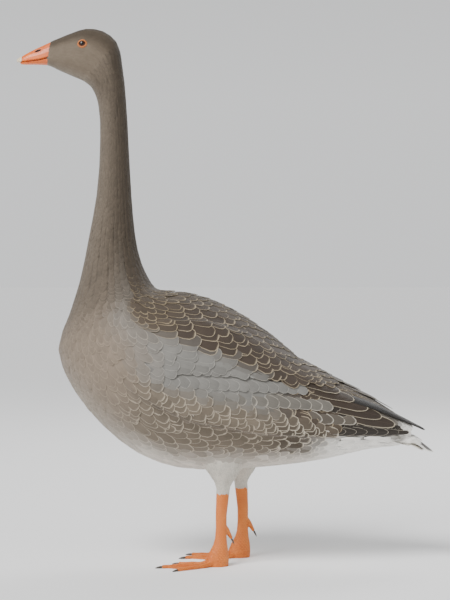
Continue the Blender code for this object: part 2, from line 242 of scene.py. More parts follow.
def edited(piece, operator, **settings):
    """Runs an edit-mode operator on the whole piece."""
    only(piece)
    bpy.ops.object.mode_set(mode="EDIT")
    bpy.ops.mesh.select_all(action="SELECT")
    operator(**settings)
    bpy.ops.object.mode_set(mode="OBJECT")


def copied(node, grow=0.0):
    """A copy of a node's solid with its corners merged, its faces moved out by grow."""
    piece = put(f"{node}_copy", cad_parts[node].data.copy())
    piece.data.materials.clear()
    edited(piece, bpy.ops.mesh.remove_doubles, threshold=0.01 * MM)
    if grow:
        edited(piece, bpy.ops.transform.shrink_fatten, value=grow)
    return piece


def applied(piece, kind, **settings):
    """Adds a modifier with these settings and applies it."""
    only(piece)
    modifier = piece.modifiers.new(kind.title(), kind)
    for name, value in settings.items():
        setattr(modifier, name, value)
    bpy.ops.object.modifier_apply(modifier=modifier.name)


def moulded(name, nodes, voxel, rounds, grow=0.4 * MM, inner=()):
    """Copies of nodes, and pieces inside them, grown together into one closed smooth form."""
    copies = [copied(node, grow) for node in nodes] + list(inner)
    only(*copies)
    if len(copies) > 1:
        bpy.ops.object.join()
    piece = copies[0]
    piece.name = name
    piece.data.name = name
    applied(piece, "REMESH", mode="VOXEL", voxel_size=voxel, use_smooth_shade=True)
    applied(piece, "SMOOTH", factor=0.5, iterations=rounds)
    return piece


def table(items, name):
    """One row of three numbers for each of a mesh's items."""
    found = np.empty(len(items) * 3)
    items.foreach_get(name, found)
    return found.reshape(-1, 3)


def places(piece):
    """The places of a piece's corners."""
    return table(piece.data.vertices, "co")


def normals(piece):
    """The normals of a piece's corners."""
    return table(piece.data.vertex_normals, "vector")


def placed(piece, values):
    """Moves the piece's corners to these places."""
    piece.data.vertices.foreach_set("co", np.asarray(values).ravel())
    piece.data.update()


def given(piece, name, values):
    """Writes an attribute with a colour or a number for each corner."""
    kind, channel = "FLOAT", "value"
    if values.ndim > 1:
        kind, channel = "FLOAT_COLOR", "color"
        values = np.column_stack([values, np.ones(len(values))])
    attribute = piece.data.attributes.new(name, kind, "POINT")
    attribute.data.foreach_set(channel, values.astype(np.float32).ravel())


def joined_mesh(name, spots, corners, sizes):
    """One piece of many small closed shapes: their corners' places, and the corners of each face."""
    mesh = bpy.data.meshes.new(name)
    mesh.vertices.add(len(spots))
    mesh.vertices.foreach_set("co", spots.ravel())
    mesh.loops.add(len(corners))
    mesh.loops.foreach_set("vertex_index", corners)
    mesh.polygons.add(len(sizes))
    mesh.polygons.foreach_set("loop_start", np.cumsum(sizes) - sizes)
    mesh.update(calc_edges=True)
    mesh.shade_smooth()
    mesh.set_sharp_from_angle(angle=math.radians(70))
    return put(name, mesh)


def joined_on(piece, slot, material, *nodes):
    """Dresses a piece, and sets it on the body in place of these nodes."""
    piece.data.materials.clear()
    piece.data.materials.append(material)
    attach(piece, "root")
    if nodes:
        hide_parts(*nodes)


# ---------------- The body's course

def course_table(steps=12):
    """The stations joined by smooth curves: a row of metres for each step."""
    rows = np.array(list(STATIONS.values()), float) * MM
    rows = np.vstack([2 * rows[0] - rows[1], rows, 2 * rows[-1] - rows[-2]])
    found = []
    for k in range(1, len(rows) - 2):
        a, b, c, d = rows[k - 1:k + 3]
        for t in np.arange(steps) / steps:
            found.append(b + (c - a) * t / 2 + (a - 2.5 * b + 2 * c - d / 2) * t**2
                         + (1.5 * (b - c) + (d - a) / 2) * t**3)
    found.append(rows[-2])
    return np.array(found), np.linspace(0, LAST_STATION, len(found))


COURSE, COURSE_STATIONS = course_table()


def course(s):
    """The x and z of the back and of the belly, in the planes across the body at these stations."""
    return [np.interp(s, COURSE_STATIONS, column) for column in COURSE.T]


def section(s):
    """Back and belly points of the plane across the body at a station."""
    x0, z0, x1, z1 = course(s)
    return Vector((x0, 0, z0)), Vector((x1, 0, z1))


class Bed:
    """A closed smooth form that feathers are laid on."""

    def __init__(self, piece):
        corners = [tuple(face.vertices) for face in piece.data.polygons]
        spots = [Vector(place) for place in places(piece)]
        self.tree = BVHTree.FromPolygons(spots, corners)
        normal = normals(piece)
        self.normals = [Vector(normal[list(face)].mean(0)).normalized() for face in corners]

    def under(self, point):
        """The nearest place on the bed, and the normal there."""
        place, _, face, _ = self.tree.find_nearest(point)
        return place, self.normals[face]

    def struck(self, start, toward):
        """The first place that a line meets, and the normal there."""
        place, _, face, _ = self.tree.ray_cast(start, toward)
        return (None, None) if place is None else (place, self.normals[face])

    def beside(self, side, x, z):
        """The place on one side of the bed at this x and z, in millimetres."""
        return self.struck(Vector((x * MM, SIDES[side] * OUTSIDE, z * MM)), -SIDES[side] * ACROSS)


# How many stations before and behind a place its lie and its rate are measured over.
LIE_REACH, RATE_REACH = 0.2, 0.15
# What stands in where a line meets nothing: half a width, and the way of a station, in metres.
NO_WIDTH, NO_RATE = 0.01, 0.05


class BodyBed(Bed):
    """The whole bird's bed, on which a place is a station and a turn from the back."""

    def __init__(self, piece):
        super().__init__(piece)
        self.half_widths = []
        for s in COURSE_STATIONS:
            back, belly = section(s)
            place, _ = self.struck((back + belly) / 2 - OUTSIDE * ACROSS, ACROSS)
            self.half_widths.append(NO_WIDTH if place is None else abs(place.y))

    def half_width(self, s):
        """Half the bird's width at a station."""
        return float(np.interp(s, COURSE_STATIONS, self.half_widths))

    def spot(self, s, turn):
        """The place and normal at a station and a turn; the bird's left comes first."""
        back, belly = section(s)
        out = (back - belly) / 2 * math.cos(turn) - ACROSS * self.half_width(s) * math.sin(turn)
        return self.struck((back + belly) / 2 + 4 * out, -out.normalized())

    def lie(self, s, turn, normal):
        """The way feathers point there: along the course, towards the tail."""
        back_to, belly_to = section(max(0, s - LIE_REACH))
        back_from, belly_from = section(min(LAST_STATION, s + LIE_REACH))
        share = (1 + math.cos(turn)) / 2
        return level((back_to - back_from) * share + (belly_to - belly_from) * (1 - share), normal)

    def rate(self, s, turn):
        """How far the surface runs for one station, in metres."""
        low, high = max(0, s - RATE_REACH), min(LAST_STATION, s + RATE_REACH)
        a, _ = self.spot(low, turn)
        b, _ = self.spot(high, turn)
        return NO_RATE if a is None or b is None else max(0.003, (b - a).length / (high - low))


def bed_of(kind, nodes, voxel, rounds):
    """A bed moulded from nodes, whose form is taken away once it has been read."""
    form = moulded("bed", nodes, voxel, rounds)
    bed = kind(form)
    bpy.data.objects.remove(form)
    return bed


# ---------------- Feathers

class Style:
    """A feather's pattern: rows along it and columns across it, as shares of its length and half width.

    The width starts from a share at the root and is full at one share of the length; the tip
    rounds off from another, the blunter the higher. The furrow shade is how dark the sides are
    painted: painted shade for the furrows between the neck's columns.
    """

    def __init__(self, rows, columns, root, full_at, tip_from, blunt, furrow_shade=0.0):
        self.rows = rows
        self.columns = np.array(columns)
        self.furrow_shade = furrow_shade
        wide = [root + (1 - root) * step(0, full_at, t) for t in rows]
        tip = [max(0.0, (t - tip_from) / (1 - tip_from)) for t in rows]
        # The half width at each row, as a share of the widest.
        self.width = np.array([a * math.sqrt(1 - b**blunt) for a, b in zip(wide, tip)])
        faces = self.faces()
        self.corners = np.array([corner for face in faces for corner in face])
        self.sizes = np.array([len(face) for face in faces])
        self.count = len(rows) * (len(columns) + 1) + 1

    def faces(self):
        """Faces of the upper side, the underside with its keel, the root and the tip."""
        across = len(self.columns)
        last = len(self.rows) - 1
        tip = len(self.rows) * (across + 1)

        def at(row, column):
            return row * (across + 1) + column

        faces = [tuple(at(0, i) for i in range(across + 1))]
        for j in range(last):
            for i in range(across - 1):
                faces.append((at(j, i), at(j + 1, i), at(j + 1, i + 1), at(j, i + 1)))
            keel, next_keel = at(j, across), at(j + 1, across)
            faces.append((at(j, 0), keel, next_keel, at(j + 1, 0)))
            faces.append((keel, at(j, across - 1), at(j + 1, across - 1), next_keel))
        for i in range(across - 1):
            faces.append((at(last, i), tip, at(last, i + 1)))
        faces.append((at(last, 0), at(last, across), tip))
        faces.append((at(last, across), at(last, across - 1), tip))
        return faces


STYLES = {
    "tuft": Style((0, 0.5, 0.85), (-1, 0, 1), 0.7, 0.4, 0.3, 1.6),
    "neck": Style((0, 0.4, 0.7, 0.9), (-1, -0.55, 0.55, 1), 0.55, 0.4, 0.4, 2, 0.5),
    "soft": Style((0, 0.3, 0.55, 0.76, 0.9, 0.97), (-1, -0.7, 0, 0.7, 1), 0.5, 0.5, 0.5, 2.2),
    "square": Style((0, 0.3, 0.6, 0.82, 0.93, 0.985), (-1, -0.75, 0, 0.75, 1), 0.5, 0.45, 0.62, 4.4),
    "covert": Style((0, 0.3, 0.6, 0.8, 0.92, 0.98), (-1, -0.78, 0, 0.78, 1), 0.5, 0.4, 0.6, 2.8),
    "quill": Style((0, 0.15, 0.3, 0.45, 0.6, 0.72, 0.82, 0.9, 0.96, 0.99),
                   (-1, -0.82, -0.4, 0, 0.4, 0.82, 1), 0.45, 0.3, 0.72, 2.2),
}
# The thickness of a feather's keel, in metres: a flat feather's, and the most of an arched one's.
THIN, THICK = 0.4 * MM, 0.6 * MM
# How unlike a feather's two sides are, and the widths of its pale edge from feather to feather.
SIDES_UNLIKE, FRINGE_UNLIKE = 0.05, 0.22
# A feather's tone at its root, and how much darker it is at its tip.
ROOT_TONE, TONE_FALL = 1.1, 0.22


class Coat:
    """Many feathers gathered into one mesh, with what their shading needs."""

    def __init__(self):
        self.parts = {}
        self.count = 0

    def note(self, **arrays):
        """Keeps what one feather adds to each of the coat's arrays."""
        for name, values in arrays.items():
            self.parts.setdefault(name, []).append(values)

    def lay(self, bed, style, trail, half_width, heights, camber, roll, colours, root_at, tone,
            edged=0):
        """Adds a feather along a trail of (place, normal, heading), one for each row and the tip."""
        rows = len(style.rows)
        low, high = heights
        shares = np.array((*style.rows, 1.0))
        rise = (low + (high - low) * shares) * MM
        length = sum((b[0] - a[0]).length for a, b in zip(trail, trail[1:]))
        across = len(style.columns)
        spots = np.empty((rows, across + 1, 3))
        u = style.columns[:, None]
        uneven = 1 + SIDES_UNLIKE * RANDOM.standard_normal((rows, 2))
        for j in range(rows):
            place, normal, heading = trail[j]
            side = normal.cross(heading)
            arch = camber * style.width[j]
            ends = []
            for way in (1, -1):
                wide = half_width * style.width[j] * uneven[j, (1 - way) // 2]
                end, end_normal = place + side * (way * wide), normal
                if bed:
                    end, end_normal = bed.under(end)
                ends.append(np.array(end + end_normal * (rise[j] + way * roll * wide)))
            middle = np.array(place + normal * (rise[j] + arch))
            right, left = ends
            spots[j, :across] = middle + u * (right - left) / 2 + u**2 * ((right + left) / 2 - middle)
            spots[j, across] = middle - np.array(normal) * min(THICK, THIN + arch)
        place, normal, _ = trail[-1]
        tip = np.array(place + normal * rise[-1])
        self.note(places=np.vstack([spots.reshape(-1, 3), tip]),
                  corners=style.corners + self.count, sizes=style.sizes)
        self.count += style.count
        self.paint(style, shares, length, half_width, colours, root_at, tone, edged)

    def grow(self, bed, style, place, normal, heading, length, *form, aim=None):
        """Adds a feather from its root, along the bed or towards an aim."""
        trail = [(place, normal, heading)]
        shares = (*style.rows, 1.0)
        for before, after in zip(shares, shares[1:]):
            place, normal = bed.under(place + heading * (length * (after - before)))
            heading = level(aim - place if aim else heading, normal)
            trail.append((place, normal, heading))
        self.lay(bed, style, trail, *form)

    def paint(self, style, shares, length, half_width, colours, root_at, tone, edged):
        """Notes each corner's place on the vane, its distance from the pale edge and its colours.

        The edge runs all round, or along one side where edged is 1 or -1.
        """
        columns = np.append(style.columns, 0)
        wide = half_width * style.width / MM
        x = np.append((wide[:, None] * columns).ravel(), 0)
        y = np.append(np.repeat(shares[:-1], len(columns)), 1) * length / MM
        within = np.append((wide[:, None] * (1 - np.abs(columns))).ravel(), 0)
        edge = np.minimum(within * 1.7, length / MM - y)
        if edged:
            edge = np.append((wide[:, None] * (1 - edged * columns)).ravel(), 0)
        patch = np.stack([x / (2 * half_width / MM), y / (length / MM) - 0.5], 1)
        share = y / (length / MM)
        # Painted shade: each feather darker toward its sides, for the furrows between columns.
        shade = 1 - style.furrow_shade * np.append(np.tile(columns**2, len(style.rows)), 0)
        ground = colours[:3] * tone * shade[:, None] * (ROOT_TONE - TONE_FALL * share[:, None])
        width = colours[6] * about(FRINGE_UNLIKE) * (0.4 + 0.95 * share**2)
        self.note(OFBake=np.array(root_at) + PATCH * patch, Vane=np.stack([x, y], 1), edge=edge,
                  ground=ground, fringe=np.tile(colours[3:6], (len(x), 1)), fringe_width=width)

    def finish(self, name, slot, material, *nodes):
        """Makes the mesh of all the feathers, as one piece."""
        whole = {part: np.concatenate(arrays) for part, arrays in self.parts.items()}
        corners = whole["corners"]
        piece = joined_mesh(name, whole["places"], corners, whole["sizes"])
        whole["OFBake"] = fitted(whole["OFBake"])
        for part in ("OFBake", "Vane"):
            layer = piece.data.uv_layers.new(name=part)
            layer.uv.foreach_set("vector", whole[part][corners].astype(np.float32).ravel())
        for part in ("ground", "fringe", "fringe_width", "edge"):
            given(piece, part, whole[part])
        joined_on(piece, slot, material, *nodes)


def fitted(spread):
    """The unwrap's patches drawn together a little where some run past the square."""
    low = spread.min(0)
    high = spread.max(0)
    return spread if (low >= 0).all() and (high <= 1).all() else (spread - low) / (high - low)


def swayed(heading, normal, amount):
    """A heading turned a little to one side at random."""
    return (heading + normal.cross(heading) * (amount * RANDOM.standard_normal())).normalized()


def root_place(s, turn):
    """Where a root lies on the unwrapped skin: round the body, and along it."""
    return (turn % FULL_TURN) / FULL_TURN, s / LAST_STATION


# A gap between roots gets one more over this many spacings, and loses one under this few.
WIDE_GAP, NARROW_GAP = 1.5, 0.6


def closed(front):
    """A front of roots with its first root added again, a full turn on."""
    s, turn = front[0]
    return front + [(s, turn + FULL_TURN)]


def grown_rows(bed, first, last, spacing, row_share):
    """Roots in staggered rows from one station to another, each midway between two of the row before."""
    way = math.copysign(1, last - first)
    ring = [bed.spot(first, FULL_TURN * k / 24)[0] for k in range(24)]
    girth = sum((b - a).length for a, b in zip(ring, ring[1:] + ring[:1]))
    count = max(6, round(girth / spacing(first, 1.5)))
    front = [(first, FULL_TURN * (k + 0.5) / count) for k in range(count)]
    roots = list(front)
    while any((last - s) * way > 0 for s, _ in front):
        ahead = []
        for (s0, turn0), (s1, turn1) in zip(front, closed(front)[1:]):
            s, turn = (s0 + s1) / 2, (turn0 + turn1) / 2
            s += way * row_share * spacing(s, turn) / bed.rate(s, turn)
            ahead.append((min(last, s) if way > 0 else max(last, s), turn))
        front = evened(bed, ahead, spacing)
        roots += [root for root in front if (last - root[0]) * way > 0]
    return roots + [(last, turn) for _, turn in front]


def evened(bed, front, spacing):
    """The front with a root added in each wide gap, and one taken from each narrow one."""
    kept = [front[0]]
    for s, turn in closed(front)[1:]:
        before_s, before_turn = kept[-1]
        here, normal = bed.spot(s, turn)
        before, _ = bed.spot(before_s, before_turn)
        wanted = spacing(s, turn)
        gap = wanted
        if here and before:
            apart = here - before
            gap = (apart - apart.project(bed.lie(s, turn, normal))).length
        if gap > WIDE_GAP * wanted:
            kept.append(((s + before_s) / 2, (turn + before_turn) / 2))
        if gap > NARROW_GAP * wanted:
            kept.append((s, turn))
    return kept[:-1] if kept[-1][1] >= front[0][1] + FULL_TURN - 1e-9 else kept


# ---------------- Materials
# A noise's Scale is how many of its clouds lie along a metre: 1000 over their size in millimetres.

def fill(tree, socket, value):
    """Gives an input a number, a hex colour, or a link from a socket or a node's first open output."""
    if isinstance(value, bpy.types.Node):
        value = next(output for output in value.outputs if output.enabled)
    if isinstance(value, bpy.types.NodeSocket):
        tree.links.new(value, socket)
    else:
        socket.default_value = (*linear(value), 1) if isinstance(value, str) else value


# How these nodes are set unless a call says otherwise.
USUAL = {"Mix": {"data_type": "RGBA"}, "Math": {"operation": "MULTIPLY_ADD"}}


def add(tree, kind, *values, **named):
    """Adds a node and sets it. Values fill its open inputs in order; a capital names an input."""
    node = tree.nodes.new(f"ShaderNode{kind}")
    for name, value in {**USUAL.get(kind, {}), **named}.items():
        if name.islower():
            setattr(node, name, value)
    for socket, value in zip([socket for socket in node.inputs if socket.enabled], values):
        fill(tree, socket, value)
    for name, value in named.items():
        if not name.islower():
            fill(tree, node.inputs[name], value)
    return node


def material(name, roughness, **shares):
    """A new material, whose even values are set on its shader's own sockets."""
    made = bpy.data.materials.new(name)
    made.use_nodes = True
    inputs = made.node_tree.nodes["Principled BSDF"].inputs
    inputs["Roughness"].default_value = roughness
    for socket, value in shares.items():
        inputs[socket.replace("_", " ")].default_value = value
    return made, made.node_tree


def finished(made, colour, bump=None):
    """The material with its colour and its fine relief linked to its shader."""
    inputs = made.node_tree.nodes["Principled BSDF"].inputs
    fill(made.node_tree, inputs["Base Color"], colour)
    if bump:
        fill(made.node_tree, inputs["Normal"], bump)
    return made


def feather_vane(name, roughness, sheen, barb_mm, barb_share, shaft_mm, shaft_shade, ragged):
    """Feather keratin, grown as barbs: soft and matt, with a fine slant of barbs and a shaft.

    The barbs are drawn coarser than real ones, so that they show; clouds of tone are 11 mm.
    """
    made, tree = material(name, roughness, Sheen_Weight=sheen, Specular_IOR_Level=0.25)
    ground = add(tree, "Attribute", attribute_name="ground")
    fringe = add(tree, "Attribute", attribute_name="fringe")
    width = add(tree, "Attribute", attribute_name="fringe_width").outputs["Fac"]
    edge = add(tree, "Attribute", attribute_name="edge").outputs["Fac"]
    vane = add(tree, "SeparateXYZ", add(tree, "UVMap", uv_map="Vane"))
    out = add(tree, "Math", vane.outputs["X"], operation="ABSOLUTE")
    # Barbs slant forward from the shaft.
    slant = add(tree, "Math", out, -1.1, vane.outputs["Y"])
    ripple = add(tree, "Math", slant, FULL_TURN / barb_mm, operation="MULTIPLY")
    barbs = add(tree, "Math", ripple, operation="SINE")
    # The pale edge frays along the barbs.
    streaks = add(tree, "TexNoise", slant, noise_dimensions="1D", Scale=1.6, Detail=2)
    fray = add(tree, "Math", streaks, ragged, 1.2 - ragged / 2)
    reach = add(tree, "Math", width, fray, operation="MULTIPLY")
    near = add(tree, "Math", reach, 0.05, operation="MULTIPLY")
    inner = add(tree, "MapRange", edge, near, reach, interpolation_type="SMOOTHSTEP")
    colour = add(tree, "Mix", inner, fringe, ground)
    shaft = add(tree, "MapRange", out, shaft_mm * 0.6, shaft_mm, shaft_shade, 1.0)
    barb_tone = add(tree, "Math", barbs, barb_share, 1.0)
    place = add(tree, "TexCoord").outputs["Object"]
    cloud = add(tree, "TexNoise", place, Scale=90, Detail=3)
    cloud_tone = add(tree, "Math", cloud, 0.3, 0.85)
    tone = shaft
    for part in (barb_tone, cloud_tone):
        tone = add(tree, "Math", tone, part, operation="MULTIPLY")
    toned = add(tree, "Mix", 1.0, colour, tone, blend_type="MULTIPLY")
    relief = add(tree, "Math", shaft, -2.0, barbs)
    return finished(made, toned, add(tree, "Bump", Strength=0.35, Distance=0.00012, Height=relief))


def feathered_skin():
    """Bird skin under down: matt, in the tones of the feathers over it, in tufts of 1.7 mm."""
    made, tree = material("feathered_skin", 0.9, Sheen_Weight=0.3)
    ground = add(tree, "Attribute", attribute_name="ground")
    place = add(tree, "TexCoord").outputs["Object"]
    down = add(tree, "TexNoise", place, Scale=600, Detail=3)
    tone = add(tree, "Math", down, 0.5, 0.6)
    toned = add(tree, "Mix", 1.0, ground, tone, blend_type="MULTIPLY")
    return finished(made, toned, add(tree, "Bump", Strength=0.6, Distance=0.0004, Height=down))


# How far light goes under soft skin: red farthest, in metres.
SOFT_SKIN = (0.004, 0.002, 0.001)


def bare_skin(name, colour, shade, pale, roughness, cell_mm, depth):
    """Bare orange skin, grown in small pebbles: satin, with painted shade in the creases, in 18 mm patches.
    """
    made, tree = material(name, roughness, Subsurface_Weight=0.08, Specular_IOR_Level=0.4,
                          Subsurface_Radius=SOFT_SKIN)
    place = add(tree, "TexCoord").outputs["Object"]
    cells = add(tree, "TexVoronoi", place, feature="DISTANCE_TO_EDGE", Scale=1000 / cell_mm)
    crease = add(tree, "MapRange", cells, 0.0, 0.22)
    cloud = add(tree, "TexNoise", place, Scale=55, Detail=4)
    patches = add(tree, "MapRange", cloud, 0.35, 0.7)
    ground = add(tree, "Mix", patches, colour, pale)
    # Painted shade: the shade colour fills the creases between the pebbles.
    crease_shaded = add(tree, "Mix", crease, shade, ground)
    return finished(made, crease_shaded, add(tree, "Bump", Strength=0.6, Distance=depth, Height=crease))


def scute_horn():
    """Thin horny plates of the leg: satin orange, paler at the crown and darker down the sides as painted
    shade in the creases, with 0.4 mm grit.
    """
    made, tree = material("leg_scute_horn", 0.42, Specular_IOR_Level=0.45)
    place = add(tree, "TexCoord").outputs["Object"]
    crown = add(tree, "Attribute", attribute_name="crown").outputs["Fac"]
    cloud = add(tree, "TexNoise", place, Scale=60, Detail=4)
    # Painted shade: the plates' low sides and edges, low in crown, take the dark orange of the creases.
    share = add(tree, "Math", cloud, crown, operation="MULTIPLY")
    colour = add(tree, "Mix", share, "B9581C", "EE9440")
    grit = add(tree, "TexNoise", place, Scale=2500)
    return finished(made, colour, add(tree, "Bump", Strength=0.25, Distance=0.0001, Height=grit))


def bill_horn():
    """The bill's waxy horn over soft skin: satin orange, pinker at its base, with painted shade in its
    grooves and nostrils.

    Its patches are 9 mm and its pores 0.7 mm.
    """
    made, tree = material("bill_horn_waxy", 0.36, Subsurface_Weight=0.1, Specular_IOR_Level=0.45,
                          Subsurface_Radius=SOFT_SKIN)
    place = add(tree, "TexCoord").outputs["Object"]
    base = add(tree, "MapRange", add(tree, "SeparateXYZ", place), -0.312, -0.28)
    groove_shade = add(tree, "Attribute", attribute_name="groove_shade").outputs["Fac"]
    nostril_shade = add(tree, "Attribute", attribute_name="nostril_shade").outputs["Fac"]
    cloud = add(tree, "TexNoise", place, Scale=110, Detail=5)
    patches = add(tree, "MapRange", cloud, 0.35, 0.7)
    colour = add(tree, "Mix", patches, "D5570C", "E6751A")
    # Painted shade: the lamellae's grooves and the nostrils' hollows are darkened.
    for share, tint in ((base, "D06530"), (groove_shade, "6B3518"), (nostril_shade, "2E1912")):
        colour = add(tree, "Mix", share, colour, tint)
    pores = add(tree, "TexNoise", place, Scale=1400, Detail=2)
    return finished(made, colour, add(tree, "Bump", Strength=0.3, Distance=0.00015, Height=pores))


def streaked_horn(name, colour, tip, roughness):
    """Hard horn, grown in layers: glossy, with streaks 1.1 mm wide along the growth."""
    made, tree = material(name, roughness, Specular_IOR_Level=0.5)
    drawn = add(tree, "Mapping", add(tree, "TexCoord").outputs["Object"], Scale=(0.25, 1, 1))
    streaks = add(tree, "TexNoise", drawn, Scale=900, Detail=3)
    share = add(tree, "MapRange", streaks, 0.35, 0.7)
    toned = add(tree, "Mix", share, colour, tip)
    return finished(made, toned, add(tree, "Bump", Strength=0.3, Distance=0.0001, Height=streaks))


def wet_eye():
    """A living eye: a wet clear front over a brown iris, darker at its edge, and a black pupil.

    The iris has fibres of 0.9 mm. The pupil reaches 3 mm out from the middle, and the iris 5 mm.
    """
    made, tree = material("wet_eye", 0.3, Specular_IOR_Level=0.0, Coat_Weight=0.75, Coat_Roughness=0.02)
    off_axis = add(tree, "Attribute", attribute_name="off_axis").outputs["Fac"]
    place = add(tree, "TexCoord").outputs["Object"]
    fibres = add(tree, "TexNoise", place, Scale=1100, Detail=3)
    iris = add(tree, "Mix", fibres, "221005", "55290E")
    pupil = add(tree, "MapRange", off_axis, 2.9, 3.15)
    rim = add(tree, "MapRange", off_axis, 4.3, 5.2)
    inner = add(tree, "Mix", pupil, "080706", iris)
    return finished(made, add(tree, "Mix", rim, inner, "1A100A"))


VANE = feather_vane("feather_vane_soft", 0.72, 0.1, 0.6, 0.05, 0.22, 0.82, 1.8)
DOWN = feather_vane("feather_down_fine", 0.8, 0.12, 0.4, 0.06, 0.1, 1.0, 1.8)
QUILL = feather_vane("feather_vane_stiff", 0.5, 0.05, 0.8, 0.05, 0.5, 1.5, 0.8)
SKIN = feathered_skin()
LEG = bare_skin("web_skin_pebbled", "DE7526", "A85318", "EA8B38", 0.5, 1.3, 0.0003)
LID = bare_skin("eyelid_skin", "C9763A", "8E4E22", "D98A4C", 0.55, 0.45, 0.0001)
SCUTE = scute_horn()
BILL = bill_horn()
NAIL = streaked_horn("bill_nail_pale_horn", "C9B698", "E0D2BA", 0.3)
CLAW = streaked_horn("claw_dark_horn", "2E2823", "5A5048", 0.32)
EYE = wet_eye()


# ---------------- Skin

# How deep the coat is over the skin at a station, in millimetres.
COAT_STATIONS = (AT["tail_root"], AT["rump"], AT["crop"], AT["neck_root"], AT["throat"], AT["crown"],
                 AT["lores"] + 0.5, AT["bill_base"])
COAT_DEPTHS = (3.0, 4.2, 4.0, 3.0, 2.4, 1.1, 0.7, 0.05)
THIGH_DEPTH = 3.0
# How deep the skin lies inside the bill, in millimetres, and over what way it gets there.
MOUTH_DEPTH, MOUTH_FADE = 2.3, 3.5 * MM
# The skin stays under the eyeball out to this angle from the way the eye looks, in degrees.
UNDER_EYE = 52


def coat_depth(s):
    return np.interp(s, COAT_STATIONS, COAT_DEPTHS)


def blend(base, other, share):
    return base * (1 - share) + other * share


def stations_of(spots):
    """The station of each of many places, and its turn from the back."""
    fine = np.linspace(0, LAST_STATION, 400)
    x0, z0, x1, z1 = course(fine)
    run_x, run_z = x1 - x0, z1 - z0
    depth = np.hypot(run_x, run_z)
    found = []
    for part in np.array_split(spots, 8):
        dx, dz = part[:, 0, None] - x0, part[:, 2, None] - z0
        off = np.abs(run_x * dz - run_z * dx) / depth
        down = (run_x * dx + run_z * dz) / depth**2
        off += np.maximum(0, np.abs(down - 0.5) - 0.55) * 0.3
        best = off.argmin(1)
        height = 1 - 2 * down[np.arange(len(part)), best]
        turn = np.arctan2(-part[:, 1], height * depth[best] / 2)
        found.append(np.stack([fine[best], turn], 1))
    return np.concatenate(found)


def skin():
    """One skin for the flesh, drawn in from the outline by the depth of the coat.

    It runs on inside the bill, where it lines the mouth in a near-black painted shade.
    """
    piece = moulded("skin", FLESH + THIGHS + EYES + MANDIBLES, 2.8 * MM, 9)
    spots = places(piece)
    found = stations_of(spots)
    below = np.clip((0.19 - spots[:, 2]) / 0.03, 0, 1)
    x0, z0, x1, z1 = np.array(STATIONS["bill_base"]) * MM
    mouth = np.clip((np.interp(spots[:, 2], (z1, z0), (x1, x0)) - spots[:, 0]) / MOUTH_FADE, 0, 1)
    depth = blend(blend(coat_depth(found[:, 0]), THIGH_DEPTH, below), MOUTH_DEPTH, mouth)
    spots -= normals(piece) * (depth * MM)[:, None]
    for centre, radius, axis in SEATS.values():
        away = spots - np.array(centre)
        far = np.linalg.norm(away, axis=1)
        angle = np.degrees(np.arccos(np.clip(away @ np.array(axis) / far, -1, 1)))
        under = np.clip((UNDER_EYE - angle) / 10, 0, 1) * (far < 1.4 * radius)
        spots -= away * (under * (1 - 0.8 * radius / far))[:, None]
    placed(piece, spots)
    tones = np.array([markings(s, turn)[:3] for s, turn in found])
    tones = blend(tones, LOOKS["thigh"][:3], np.clip((0.172 - spots[:, 2]) / 0.02, 0, 1)[:, None])
    # Painted shade: inside the bill the skin takes the near-black mouth colour.
    given(piece, "ground", blend(tones, LOOKS["mouth"][:3], mouth[:, None]))
    joined_on(piece, "plumage", SKIN, *FLESH, *THIGHS)


# ---------------- Body feathers

# The covert panel of the folded wing, where long rows cover the small feathers: x, z.
PANEL = ((-118, 318), (60, 318), (150, 300), (210, 262), (330, 205), (255, 200), (55, 210), (-50, 234),
         (-112, 262))
# No body feather grows lower than this: the thighs carry their own.
BODY_LOW = 146 * MM
# The last station of the body's feathers, before the tail's root, and how far apart they stand
# along the body: stations and millimetres.
BODY_TO = 0.12
BODY_GAP = (0, 1, 3, 5, 7, 8, 9.2, 10), (8, 10, 13, 13.5, 12.5, 10.5, 9.5, 9)
# Feathers of the upper side, and of the breast and belly: their pattern, how unlike they are in
# tone, in the way they point and in length, their length and half width beside their spacing,
# and the depths of root and tip under the outline, in millimetres.
UPPER = ("square", 0.07, 0.07, 0.06, 2.9, 0.66, (-2.9, 0.1))
LOWER = ("soft", 0.035, 0.12, 0.12, 3.1, 0.64, (-2.3, -0.2))
# How much deeper they lie under the wing's rows.
COVERED = (1.8, 3.7)
# Behind and above this place the long quills lie over them, and as far as DARK_TO they are dark.
QUILLS_FROM, QUILLS_OVER, DARK_TO = 150 * MM, 203 * MM, 268 * MM


def inside(x, z, outline):
    """Whether a point of the side view lies in an outline."""
    crossed = False
    for (x0, z0), (x1, z1) in zip(outline, outline[1:] + outline[:1]):
        if (z0 > z) != (z1 > z) and x < x0 + (x1 - x0) * (z - z0) / (z1 - z0):
            crossed = not crossed
    return crossed


def body_spacing(s, turn):
    """How far apart body feathers stand, in metres."""
    fold = folded(turn)
    scapular = step(0.2, 0.6, fold) * (1 - step(1.1, 1.35, fold))
    scapular *= step(2.6, 3.4, s) * (1 - step(5.4, 7.0, s))
    return np.interp(s, *BODY_GAP) * (1 + 0.35 * scapular) * MM


